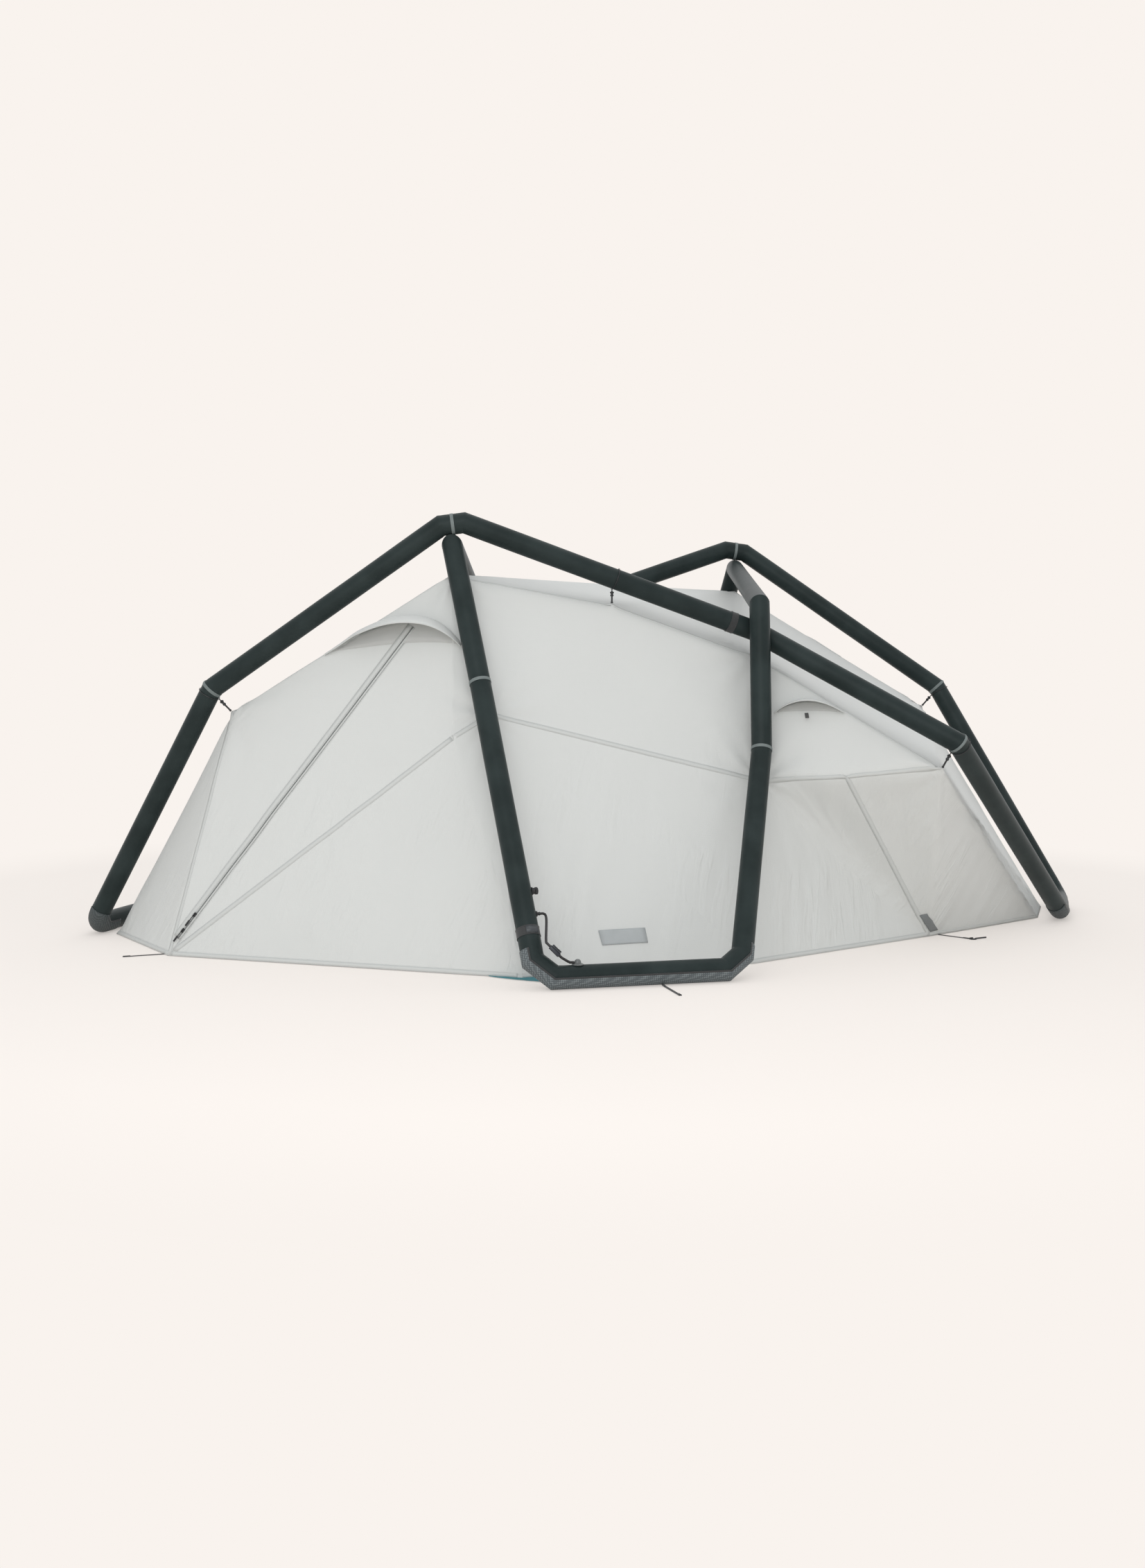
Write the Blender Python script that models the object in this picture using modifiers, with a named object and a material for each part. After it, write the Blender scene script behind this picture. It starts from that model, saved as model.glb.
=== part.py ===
"""Inflatable tent with an outside frame of air tubes, built as separate pieces.

Metres, +Z up. The origin is on the ground under the centre of the roof. The frame has a half-turn
symmetry about the Z axis: two long arches run from end to end and a hoop crosses them. The hoop's
upper ends hang under the two apexes, and its legs and ground tubes stand out in front and behind.
"""

import math

import bmesh
import bpy
from mathutils import Matrix, Vector

UP = Vector((0.0, 0.0, 1.0))

# Frame sizes
FRAME_HALF_LENGTH = 1.735
FRAME_HALF_WIDTH = 1.253
APEX_AXIS_HEIGHT = 1.332
TUBE_DIAMETER = 0.065
TUBE_RADIUS = TUBE_DIAMETER / 2
SEAT_GAP = 0.0003
MERGE_DISTANCE = 0.00001
ROUND_SIDES = 24

# Coverings that are sewn round the tubes
GUARD_THICKNESS = 0.0015
GUARD_OUTER_RADIUS = TUBE_RADIUS + SEAT_GAP + GUARD_THICKNESS
GROUND_AXIS_HEIGHT = GUARD_OUTER_RADIUS * math.cos(math.pi / ROUND_SIDES)
GUARD_LEG_REACH = 0.030
FOOT_GUARD_REACH = 0.050
TAPE_THICKNESS = 0.0008
TAPE_WIDTH = 0.010
TAPE_EDGE_SHARE = 0.999
LEG_BAND_WIDTH = 0.028
LEG_BAND_THICKNESS = 0.0012
CROSSING_BAND_WIDTH = 0.022

# Corners of the frame
APEX_TOP_LENGTH = 0.072
GROUND_BEVEL_LENGTH = 0.075
FOOT_CORNER_REACH = 0.062
FOOT_CORNER_STEPS = 4

# Places of the frame's nodes, as shares of the half length, half width and apex height
NODE_SHARES = {
    "foot_left": (-1.000, -0.134, 0.0),
    "foot_right": (0.922, -0.134, 0.0),
    "bend_left": (-0.7625, -0.3145, 0.614),
    "apex": (-0.328, -0.4455, 1.0),
    "bend_right": (0.5585, -0.676, 0.4985),
    "corner_left": (-0.214, -1.000, 0.0),
    "corner_right": (0.130, -0.9275, 0.0),
    "hoop_bend_left": (-0.2855, -0.598, 0.6335),
    "hoop_bend_right": (0.2255, -0.5445, 0.4775),
    "hoop_top": (0.2365, -0.436, 0.822),
}
CROSSING_HEIGHT_SHARE = 0.773

# Which places of each path are which
HOOP_GROUND_RUN = 3
HOOP_TAPES = (1, 6)
ARCH_TAPES = (1, 3, 6)
HALF_FACET = math.pi / ROUND_SIDES
GUARD_ARC = (-math.pi + HALF_FACET, HALF_FACET)

# Directions in which the fabric's corners hang from the frame
END_CORNER_WAY = (0.54, 0.08, -0.83)
SIDE_CORNER_WAY = (-0.50, 0.28, -0.82)
LEFT_LEG_WAY = (0.32, 0.20, -0.95)
RIGHT_LEG_WAY = (0.08, 0.26, -0.95)

# Fabric of the outer tent
FABRIC_THICKNESS = 0.0024
HEM_HEIGHT = 0.012
CORNER_HANG_LENGTH = 0.112
PEAK_HANG_LENGTH = 0.168
CREASE_HANG_LENGTH = 0.082
CROSSING_HANG_LENGTH = 0.102
LEG_HANG_LENGTH = 0.105
PANEL_SAG = 0.010
PANEL_CUTS = 3

# Hem corners as shares of the half length and half width
HEM_SHARES = {
    "hem_left": (-0.830, -0.479),
    "hem_end": (-0.928, -0.040),
    "hem_door": (-0.2305, -0.854),
    "hem_front": (0.1875, -0.718),
    "hem_right": (0.588, -0.352),
}
ZIP_TOP_SHARE = 0.12
SEAM_MIDDLE_SHARE = 0.49
DOOR_EDGE_GAP = 0.0008
DOOR_THICKNESS = 0.0024

# Inner tent, as shares of the outer tent's shape
INNER_LENGTH_SHARE = 0.88
INNER_WIDTH_SHARE = 0.76
INNER_HEIGHT_SHARE = 0.92
INNER_THICKNESS = 0.0016
TUB_THICKNESS = 0.003
TUB_WALL_HEIGHT = 0.120
TUB_FOOT_SHARE = 0.96
TUB_FLOOR_HEIGHT = 0.004
TUB_SEAM_GAP = 0.0012

# Zips
ZIP_TAPE_WIDTH = 0.014
ZIP_TAPE_THICKNESS = 0.0014
SLIDER_LENGTH = 0.016
SLIDER_WIDTH = 0.010
SLIDER_HEIGHT = 0.005
SLIDER_PITCH = 0.060
ZIP_END_MARGIN = 0.060
PULL_LENGTH = 0.048
PULL_WIDTH = 0.006
PULL_THICKNESS = 0.0016

# Hoods over the vents
DOOR_HOOD_LEFT_SHARE = 0.43
DOOR_HOOD_CROWN_SHARE = 0.74
DOOR_HOOD_DROP_SHARE = 0.54
DOOR_HOOD_RIGHT_SHARE = 0.66
DOOR_HOOD_REACH = 0.090
# Left end, crown, right end and the strut's foot, up the panel and across it
VENT_HOOD_SHARES = ((0.475, 0.095), (0.575, 0.29), (0.465, 0.485), (0.50, 0.29))
VENT_HOOD_REACH = 0.060
HOOD_END_SHARE = 0.06
HOOD_DROOP_SHARE = 0.45
HOOD_THICKNESS = 0.002
HOOD_STEPS = 12
HOOD_ROWS = 3
STRUT_LENGTH = 0.046
STRUT_WIDTH = 0.012
STRUT_THICKNESS = 0.002

# Inflation fittings on the front hoop
VALVE_RADIUS = 0.0115
VALVE_HEIGHT = 0.010
VALVE_CAP_RADIUS = 0.0105
VALVE_CAP_HEIGHT = 0.009
VALVE_SHARE = 0.726
ELBOW_SHARE = 0.800
LEG_BAND_SHARE = 0.860
HOSE_DIAMETER = 0.0075
HOSE_STEPS = 18
FITTING_RADIUS = 0.0085
FITTING_HEIGHT = 0.013
DOME_FLANGE_RADIUS = 0.017
DOME_FLANGE_HEIGHT = 0.003
DOME_RADIUS = 0.010
DOME_HEIGHT = 0.016
DOME_RUN = 0.118
CLAMP_LENGTH = 0.036
CLAMP_WIDTH = 0.020
CLAMP_HEIGHT = 0.014
CLAMP_LEVER_THICKNESS = 0.004
CLAMP_RUN = 0.052
CLAMP_DROP = 0.074

# Hooks between the frame and the outer tent
HOOK_CORD_RADIUS = 0.0025
HOOK_BODY_RADIUS = 0.0065
HOOK_SIDES = 12
HOOK_EYE_RADIUS = HOOK_CORD_RADIUS * 1.6
HOOK_TIP_RADIUS = HOOK_CORD_RADIUS * 0.2
# Share of the span and radius there, from the tube to the cloth
HOOK_STATIONS = (
    (0.0, HOOK_CORD_RADIUS), (0.30, HOOK_CORD_RADIUS), (0.38, HOOK_BODY_RADIUS),
    (0.62, HOOK_BODY_RADIUS), (0.72, HOOK_EYE_RADIUS), (1.0, HOOK_TIP_RADIUS),
)
TOGGLE_STATIONS = (
    (0.0, HOOK_TIP_RADIUS), (0.16, HOOK_TIP_RADIUS), (0.30, HOOK_CORD_RADIUS), (0.70, HOOK_CORD_RADIUS),
    (0.74, HOOK_BODY_RADIUS), (0.90, HOOK_BODY_RADIUS), (0.94, HOOK_CORD_RADIUS), (1.0, HOOK_TIP_RADIUS),
)

# Peg straps and pegs on the ground
STRAP_WIDTH = 0.016
STRAP_THICKNESS = 0.0016
STRAP_SEWN_LENGTH = 0.035
STRAP_REACH = 0.130
HOOK_WIRE_RADIUS = 0.0025
HOOK_LOOP_RADIUS = 0.011
HOOK_SHANK = 0.045


def remove_everything():
    """Clears the file of its objects."""
    for item in list(bpy.data.objects):
        bpy.data.objects.remove(item, do_unlink=True)


def collection(name):
    """Returns the named collection, linked to the scene."""
    found = bpy.data.collections.get(name) or bpy.data.collections.new(name)
    if found.name not in bpy.context.scene.collection.children:
        bpy.context.scene.collection.children.link(found)
    return found


def material(name, colour, roughness, metallic=0.0):
    """Makes a Principled material from a linear colour."""
    made = bpy.data.materials.new(name)
    made.use_nodes = True
    shader = made.node_tree.nodes["Principled BSDF"]
    shader.inputs["Base Color"].default_value = (*colour, 1.0)
    shader.inputs["Roughness"].default_value = roughness
    shader.inputs["Metallic"].default_value = metallic
    return made


FINISHES = {
    "tube": ((0.032, 0.041, 0.041), 0.55),
    "tape": ((0.20, 0.23, 0.23), 0.60),
    "guard": ((0.105, 0.115, 0.122), 0.80),
    "fabric": ((0.62, 0.63, 0.61), 0.75),
    "inner": ((0.50, 0.51, 0.50), 0.85),
    "tub": ((0.06, 0.23, 0.27), 0.70),
    "black": ((0.015, 0.016, 0.017), 0.45),
    "hose": ((0.012, 0.012, 0.013), 0.35),
    "patch": ((0.30, 0.32, 0.32), 0.60),
    "strap": ((0.045, 0.048, 0.050), 0.80),
}


def finish(made, kind):
    """Gives a piece a material of its own, in one of the tent's finishes."""
    colour, roughness = FINISHES[kind]
    made.data.materials.clear()
    made.data.materials.append(material(made.name + "_" + kind, colour, roughness))


def piece_from(name, shape, kind, smooth_angle=30.0):
    """Turns a bmesh into a finished object of the tent's collection."""
    bmesh.ops.recalc_face_normals(shape, faces=shape.faces)
    mesh = bpy.data.meshes.new(name)
    shape.to_mesh(mesh)
    shape.free()
    mesh.shade_smooth()
    mesh.set_sharp_from_angle(angle=math.radians(smooth_angle))
    made = bpy.data.objects.new(name, mesh)
    collection("inflatable_tent").objects.link(made)
    finish(made, kind)
    return made


def half_turn(point):
    """The same place on the other side of the tent's axis."""
    return Vector((-point.x, -point.y, point.z))


def frame_node(name):
    """World place of one node of the frame's centrelines."""
    share = NODE_SHARES[name]
    place = Vector((share[0] * FRAME_HALF_LENGTH, share[1] * FRAME_HALF_WIDTH, share[2] * APEX_AXIS_HEIGHT))
    if not share[2]:
        place.z = GROUND_AXIS_HEIGHT
    return place


def crossing_node(leg_top, leg_foot, apex, bend):
    """Where the long arch passes behind the hoop's leg, one tube away from it at its closest."""
    leg = (leg_foot - leg_top).normalized()
    height = CROSSING_HEIGHT_SHARE * APEX_AXIS_HEIGHT
    on_leg = leg_top + leg * ((height - leg_top.z) / leg.z)
    inward = Vector((0.0, 1.0, 0.0))
    inward = (inward - leg * inward.dot(leg)).normalized()
    offset = TUBE_DIAMETER + SEAT_GAP
    for _ in range(4):
        place = on_leg + inward * offset
        runs = [(end - place).normalized() for end in (apex, bend)]
        leans = [abs(leg.cross(run).normalized().dot(inward)) for run in runs]
        offset = (TUBE_DIAMETER + SEAT_GAP) / min(leans)
    return on_leg + inward * offset


def runs_of(points, flat_run=None):
    """Direction and side vector of each straight run, turned as little as the bends allow."""
    ways = [(b - a).normalized() for a, b in zip(points, points[1:])]
    start = 0 if flat_run is None else flat_run
    across = ways[start].cross(UP)
    if across.length < SEAT_GAP:
        across = Vector((1.0, 0.0, 0.0))
    sides = [across.normalized()] * len(ways)
    for i in range(start + 1, len(ways)):
        sides[i] = ways[i - 1].rotation_difference(ways[i]) @ sides[i - 1]
    for i in range(start - 1, -1, -1):
        sides[i] = ways[i + 1].rotation_difference(ways[i]) @ sides[i + 1]
    return ways, sides


def sections(points, outline, flat_run=None, end_planes=(None, None), swells=None):
    """Copies of an outline across a path: square at its ends and on the mitre plane at each bend."""
    ways, sides = runs_of(points, flat_run)
    rows = []
    for i, point in enumerate(points):
        swell = swells[i] if swells else 1.0
        run = min(i, len(ways) - 1)
        if i == 0:
            plane = end_planes[0] or ways[0]
        elif i == len(points) - 1:
            plane = end_planes[1] or ways[-1]
        else:
            plane = ways[i - 1] + ways[i]
        plane = plane.normalized()
        way = ways[run]
        side = sides[run]
        lift = side.cross(way)
        row = []
        for across, along in outline:
            flat = (side * across + lift * along) * swell
            row.append(point + flat - way * (flat.dot(plane) / way.dot(plane)))
        rows.append(row)
    return rows


def circle(radius, sides=ROUND_SIDES, first=0.0, last=math.tau):
    """A round outline with a flat facet underneath, or an arc of one."""
    whole = math.isclose(last - first, math.tau)
    count = sides if whole else max(2, round(sides * (last - first) / math.tau))
    step = (last - first) / count
    stops = range(count) if whole else range(count + 1)
    turn = step / 2 if whole else 0.0
    turns = [first + turn + step * k for k in stops]
    return [(radius * math.cos(angle), radius * math.sin(angle)) for angle in turns]


def rectangle(width, height):
    """A flat outline for straps."""
    half = width / 2
    rise = height / 2
    return [(-half, -rise), (half, -rise), (half, rise), (-half, rise)]


def add_loft(shape, rows):
    """Adds a closed solid through rows of points, with a face over each end."""
    made = [[shape.verts.new(place) for place in row] for row in rows]
    count = len(made[0])
    for lower, upper in zip(made, made[1:]):
        for k in range(count):
            shape.faces.new((lower[k], lower[(k + 1) % count], upper[(k + 1) % count], upper[k]))
    shape.faces.new(made[0])
    shape.faces.new(made[-1])


def add_shell(shape, inner_rows, outer_rows, whole):
    """Adds a wall between two sets of rows: a sleeve where whole, and otherwise a gutter."""
    inner = [[shape.verts.new(place) for place in row] for row in inner_rows]
    outer = [[shape.verts.new(place) for place in row] for row in outer_rows]
    count = len(inner[0])
    steps = range(count) if whole else range(count - 1)
    for wall in (inner, outer):
        for lower, upper in zip(wall, wall[1:]):
            for k in steps:
                shape.faces.new((lower[k], lower[(k + 1) % count], upper[(k + 1) % count], upper[k]))
    for end in (0, -1):
        for k in steps:
            on = (k + 1) % count
            shape.faces.new((inner[end][k], inner[end][on], outer[end][on], outer[end][k]))
    if not whole:
        for k in (0, count - 1):
            for i in range(len(inner) - 1):
                shape.faces.new((inner[i][k], inner[i + 1][k], outer[i + 1][k], outer[i][k]))


def tube(name, points, kind, flat_run=None, end_planes=(None, None), taped=()):
    """An air tube along a path, mitred at its bends, with a welded ring of tape at the taped ones."""
    path = []
    swells = []
    run = flat_run
    ring = 1 + TAPE_THICKNESS / TUBE_RADIUS
    for i, place in enumerate(points):
        if i not in taped:
            path.append(place)
            swells.append(1.0)
            continue
        back = (points[i - 1] - place).normalized() * (TAPE_WIDTH / 2)
        on = (points[i + 1] - place).normalized() * (TAPE_WIDTH / 2)
        path += [place + back, place + back * TAPE_EDGE_SHARE, place]
        path += [place + on * TAPE_EDGE_SHARE, place + on]
        swells += [1.0, ring, ring, ring, 1.0]
        if flat_run is not None and i <= flat_run:
            run += 4
    shape = bmesh.new()
    add_loft(shape, sections(path, circle(TUBE_RADIUS), run, end_planes, swells))
    return piece_from(name, shape, kind)


def add_sleeve(shape, points, thickness, flat_run=None, arc=None, end_planes=(None, None)):
    """Adds a covering that follows a tube's surface: all round, or over the given arc."""
    first, last = arc or (0.0, math.tau)
    rows = []
    for radius in (TUBE_RADIUS + SEAT_GAP, TUBE_RADIUS + SEAT_GAP + thickness):
        rows.append(sections(points, circle(radius, ROUND_SIDES, first, last), flat_run, end_planes))
    add_shell(shape, rows[0], rows[1], arc is None)


def cut_corner(before, corner, after, length):
    """Two places that cut a corner with a straight run of the given length."""
    back = (before - corner).normalized()
    on = (after - corner).normalized()
    reach = length / (back - on).length
    return corner + back * reach, corner + on * reach


def round_corner(before, corner, after, reach, steps):
    """Places along a round corner that starts and ends at the given reach from the corner."""
    back = (before - corner).normalized()
    on = (after - corner).normalized()
    half = back.angle(on) / 2
    centre = corner + (back + on).normalized() * (reach / math.cos(half))
    start = corner + back * reach - centre
    end = corner + on * reach - centre
    axis = start.cross(end).normalized()
    turn = start.angle(end) / steps
    return [centre + Matrix.Rotation(turn * k, 3, axis) @ start for k in range(steps + 1)]


class Frame:
    """Centreline places of the front half; the rear half is the same turned half a turn."""

    def __init__(self):
        self.at = {name: frame_node(name) for name in NODE_SHARES}
        at = self.at
        at["crossing"] = crossing_node(at["hoop_top"], at["hoop_bend_right"], at["apex"], at["bend_right"])
        rear_top = half_turn(at["hoop_top"])
        slope = (rear_top - at["apex"]).normalized()
        level = math.sqrt(slope.x ** 2 + slope.y ** 2)
        at["hoop_apex"] = at["apex"] - UP * ((TUBE_DIAMETER + TAPE_THICKNESS + SEAT_GAP) / level)
        on = (at["crossing"] - at["apex"]).normalized()
        back = (at["bend_left"] - at["apex"]).normalized()
        self.top_half = (on - back).normalized() * (APEX_TOP_LENGTH / 2)

    def foot_arc(self, side):
        """The round corner between an arch and the ground tube at its foot."""
        at = self.at
        if side == "left":
            foot, bend, other = at["foot_left"], at["bend_left"], half_turn(at["foot_right"])
        else:
            foot, bend, other = at["foot_right"], at["bend_right"], half_turn(at["foot_left"])
        return round_corner(bend, foot, other, FOOT_CORNER_REACH, FOOT_CORNER_STEPS)

    def arch(self):
        """The long front arch from its left foot to its right foot."""
        at = self.at
        left = self.foot_arc("left")[0]
        right = self.foot_arc("right")[0]
        left = left + (at["bend_left"] - left).normalized() * SEAT_GAP
        right = right + (at["bend_right"] - right).normalized() * SEAT_GAP
        apex = at["apex"]
        top = [apex - self.top_half, apex + self.top_half]
        return [left, at["bend_left"], *top, at["crossing"], at["bend_right"], right]

    def hoop(self):
        """The front half of the hoop, from under one apex to under the other."""
        at = self.at
        left = cut_corner(at["hoop_bend_left"], at["corner_left"], at["corner_right"], GROUND_BEVEL_LENGTH)
        right = cut_corner(at["corner_left"], at["corner_right"], at["hoop_bend_right"], GROUND_BEVEL_LENGTH)
        start = at["hoop_apex"]
        end = half_turn(start)
        start = start + (at["hoop_bend_left"] - start).normalized() * SEAT_GAP
        end = end + (at["hoop_top"] - end).normalized() * SEAT_GAP
        return [start, at["hoop_bend_left"], *left, *right, at["hoop_bend_right"], at["hoop_top"], end]

    def hoop_end_planes(self):
        """The mitre planes on which the two halves of the hoop meet."""
        at = self.at
        apex = at["hoop_apex"]
        up_leg = (apex - at["hoop_bend_left"]).normalized()
        along_top = (half_turn(at["hoop_top"]) - apex).normalized()
        first = up_leg + along_top
        return -first, half_turn(first)


def turn_to_rear(rows_or_points):
    """The given places turned half a turn."""
    return [half_turn(point) for point in rows_or_points]


def for_each_side(points):
    """Yields the word and the path for the front and for the rear."""
    yield "front", points
    yield "rear", turn_to_rear(points)


def build_frame(frame):
    """The air tubes, their ring tapes and the guards that meet the ground."""
    at = frame.at
    first_plane, last_plane = frame.hoop_end_planes()
    for side, path in for_each_side(frame.arch()):
        with_middle = path[:3] + [(path[2] + path[3]) / 2] + path[3:]
        tube(side + "_arch_tube", with_middle, "tube", taped=ARCH_TAPES)
    for side, path in for_each_side(frame.hoop()):
        planes = (first_plane, last_plane)
        if side == "rear":
            planes = (half_turn(first_plane), half_turn(last_plane))
        tube(side + "_hoop_tube", path, "tube", HOOP_GROUND_RUN, planes, HOOP_TAPES)
        guard = bmesh.new()
        legs = [path[2] + (path[1] - path[2]).normalized() * GUARD_LEG_REACH, *path[2:6]]
        legs.append(path[5] + (path[6] - path[5]).normalized() * GUARD_LEG_REACH)
        add_sleeve(guard, legs, GUARD_THICKNESS, 2, GUARD_ARC)
        piece_from(side + "_ground_guard", guard, "guard")
    for end, turned in (("left", False), ("right", True)):
        near = frame.foot_arc("left")
        far = turn_to_rear(frame.foot_arc("right"))
        path = near + far[::-1]
        bends = (at["bend_left"], half_turn(at["bend_right"]))
        if turned:
            path = turn_to_rear(path)
            bends = turn_to_rear(bends)
        joints = (path[0] - bends[0], bends[1] - path[-1])
        tube(end + "_ground_tube", path, "tube", FOOT_CORNER_STEPS, joints)
        ground = (path[FOOT_CORNER_STEPS + 1] - path[FOOT_CORNER_STEPS]).normalized() * FOOT_GUARD_REACH
        corners = (path[: FOOT_CORNER_STEPS + 1] + [path[FOOT_CORNER_STEPS] + ground],
                   [path[FOOT_CORNER_STEPS + 1] - ground] + path[FOOT_CORNER_STEPS + 1:])
        names = ("front", "rear") if not turned else ("rear", "front")
        planes = ((joints[0], None), (None, joints[1]))
        for place, corner, flat_run, ends in zip(names, corners, (FOOT_CORNER_STEPS, 0), planes):
            guard = bmesh.new()
            add_sleeve(guard, corner, GUARD_THICKNESS, flat_run, GUARD_ARC, ends)
            piece_from(place + "_" + end + "_foot_guard", guard, "guard")
    return at


def hung(place, way, length):
    """Where a tie of the given length ends that leaves a place in a given direction."""
    return place + Vector(way).normalized() * length


class OuterTent:
    """Corner places of the outer tent's panels, hung inside the frame."""

    def __init__(self, frame):
        at = frame.at
        down = -UP
        self.at = {
            "end_corner": hung(at["bend_left"], END_CORNER_WAY, CORNER_HANG_LENGTH),
            "peak": at["apex"] + down * PEAK_HANG_LENGTH,
            "crease": (frame.arch()[3] + at["crossing"]) / 2 + down * CREASE_HANG_LENGTH,
            "crossing": at["crossing"] + down * CROSSING_HANG_LENGTH,
            "side_corner": hung(at["bend_right"], SIDE_CORNER_WAY, CORNER_HANG_LENGTH),
            "leg_left": hung(at["hoop_bend_left"], LEFT_LEG_WAY, LEG_HANG_LENGTH),
            "leg_right": hung(at["hoop_bend_right"], RIGHT_LEG_WAY, LEG_HANG_LENGTH),
        }
        for name, share in HEM_SHARES.items():
            self.at[name] = Vector((share[0] * FRAME_HALF_LENGTH, share[1] * FRAME_HALF_WIDTH, HEM_HEIGHT))
        mine = self.at
        mine["zip_top"] = mine["peak"].lerp(mine["hem_left"], ZIP_TOP_SHARE)
        mine["seam_middle"] = mine["leg_right"].lerp(mine["side_corner"], SEAM_MIDDLE_SHARE)
        for name in list(mine):
            mine["rear_" + name] = half_turn(mine[name])
        mine["seam_door"] = self.seam_on_hinge("")
        mine["rear_seam_door"] = half_turn(mine["seam_door"])

    def seam_on_hinge(self, side):
        """Where the long sloping seam meets the door's hinge line."""
        top = self.at[side + "zip_top"]
        foot = self.at[side + "hem_door"]
        leg = self.at[side + "leg_left"]
        corner = self.at[side + "hem_left"]
        hinge = foot - top
        normal = hinge.cross(leg - corner)
        share = (leg - top).cross(leg - corner).dot(normal) / normal.length_squared
        return top + hinge * share

    def panels(self):
        """The front panels as triangles of corner names, each with a mark for those that sag."""
        front = [
            ("end_corner", "hem_left", "zip_top", False), ("end_corner", "zip_top", "peak", False),
            ("peak", "zip_top", "seam_door", False), ("peak", "seam_door", "leg_left", False),
            ("leg_left", "seam_door", "hem_door", False),
            ("peak", "leg_left", "crease", True), ("crease", "leg_left", "leg_right", True),
            ("crease", "leg_right", "crossing", True),
            ("leg_left", "hem_door", "hem_front", False), ("leg_left", "hem_front", "leg_right", True),
            ("crossing", "leg_right", "seam_middle", False),
            ("crossing", "seam_middle", "side_corner", False),
            ("leg_right", "hem_front", "hem_right", True), ("leg_right", "hem_right", "seam_middle", True),
            ("seam_middle", "hem_right", "side_corner", True),
            ("side_corner", "hem_right", "rear_hem_end", False),
            ("side_corner", "rear_hem_end", "rear_end_corner", True),
            ("rear_end_corner", "rear_hem_end", "rear_hem_left", True),
            ("crossing", "side_corner", "rear_end_corner", True),
            ("crossing", "rear_end_corner", "rear_peak", True),
            ("crease", "crossing", "rear_peak", True), ("peak", "crease", "rear_peak", True),
        ]
        turned = []
        for a, b, c, sags in front:
            names = [name[5:] if name.startswith("rear_") else "rear_" + name for name in (a, b, c)]
            turned.append((*names, sags))
        return front + turned


def panel_points(a, b, c, cuts, sag):
    """Rows of places over a triangle whose middle hangs in by the sag."""
    inward = (b - a).cross(c - a).normalized()
    if inward.dot(a + b + c - Vector((0.0, 0.0, APEX_AXIS_HEIGHT))) > 0:
        inward = -inward
    rows = []
    for i in range(cuts + 1):
        row = []
        for j in range(cuts + 1 - i):
            u, v = i / cuts, j / cuts
            w = 1 - u - v
            # 27 makes the product of the three shares one at the triangle's middle
            row.append(a * w + b * v + c * u + inward * (sag * 27 * u * v * w))
        rows.append(row)
    return rows


def add_panel(shape, a, b, c, cuts, sag):
    """Adds one triangular panel as a net of small triangles."""
    rows = [[shape.verts.new(place) for place in row] for row in panel_points(a, b, c, cuts, sag)]
    for i in range(len(rows) - 1):
        for j in range(len(rows[i]) - 1):
            shape.faces.new((rows[i][j], rows[i][j + 1], rows[i + 1][j]))
            if j < len(rows[i + 1]) - 1:
                shape.faces.new((rows[i][j + 1], rows[i + 1][j + 1], rows[i + 1][j]))


def cloth_shell(name, shape, thickness, kind):
    """A fabric object: the open surface in the bmesh with a thickness on both sides of it."""
    bmesh.ops.remove_doubles(shape, verts=shape.verts, dist=SEAT_GAP / 10)
    made = piece_from(name, shape, kind, 12.0)
    wall = made.modifiers.new("fabric thickness", "SOLIDIFY")
    wall.thickness = thickness
    wall.offset = 0.0
    return made


def build_outer_tent(tent):
    """The outer tent and its two doors."""
    shape = bmesh.new()
    for a, b, c, sags in tent.panels():
        corners = [tent.at[name] for name in (a, b, c)]
        add_panel(shape, *corners, PANEL_CUTS, PANEL_SAG if sags else 0.0)
    cloth_shell("outer_tent", shape, FABRIC_THICKNESS, "fabric")
    for side, prefix in (("front", ""), ("rear", "rear_")):
        corners = [tent.at[prefix + name] for name in ("zip_top", "hem_left", "hem_door")]
        door = bmesh.new()
        add_panel(door, *door_corners(corners), 4, 0.0)
        cloth_shell(side + "_door", door, DOOR_THICKNESS, "fabric")


def door_corners(corners):
    """The door's own corners, one gap inside the opening on every side."""
    sides = [(corners[i] - corners[i - 1]).length for i in (2, 0, 1)]
    area = (corners[1] - corners[0]).cross(corners[2] - corners[0]).length / 2
    rim = sum(sides)
    middle = sum((corner * side for corner, side in zip(corners, sides)), Vector()) / rim
    inset = DOOR_EDGE_GAP * rim / (2 * area)
    return [corner.lerp(middle, inset) for corner in corners]


def inner_place(point, peak_height):
    """A place of the outer tent drawn in to the inner tent, whose fabric starts at the tub's rim."""
    foot = TUB_WALL_HEIGHT + TUB_SEAM_GAP
    rise = (INNER_HEIGHT_SHARE * peak_height - foot) / (peak_height - HEM_HEIGHT)
    height = foot + (point.z - HEM_HEIGHT) * rise
    return Vector((point.x * INNER_LENGTH_SHARE, point.y * INNER_WIDTH_SHARE, height))


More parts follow.
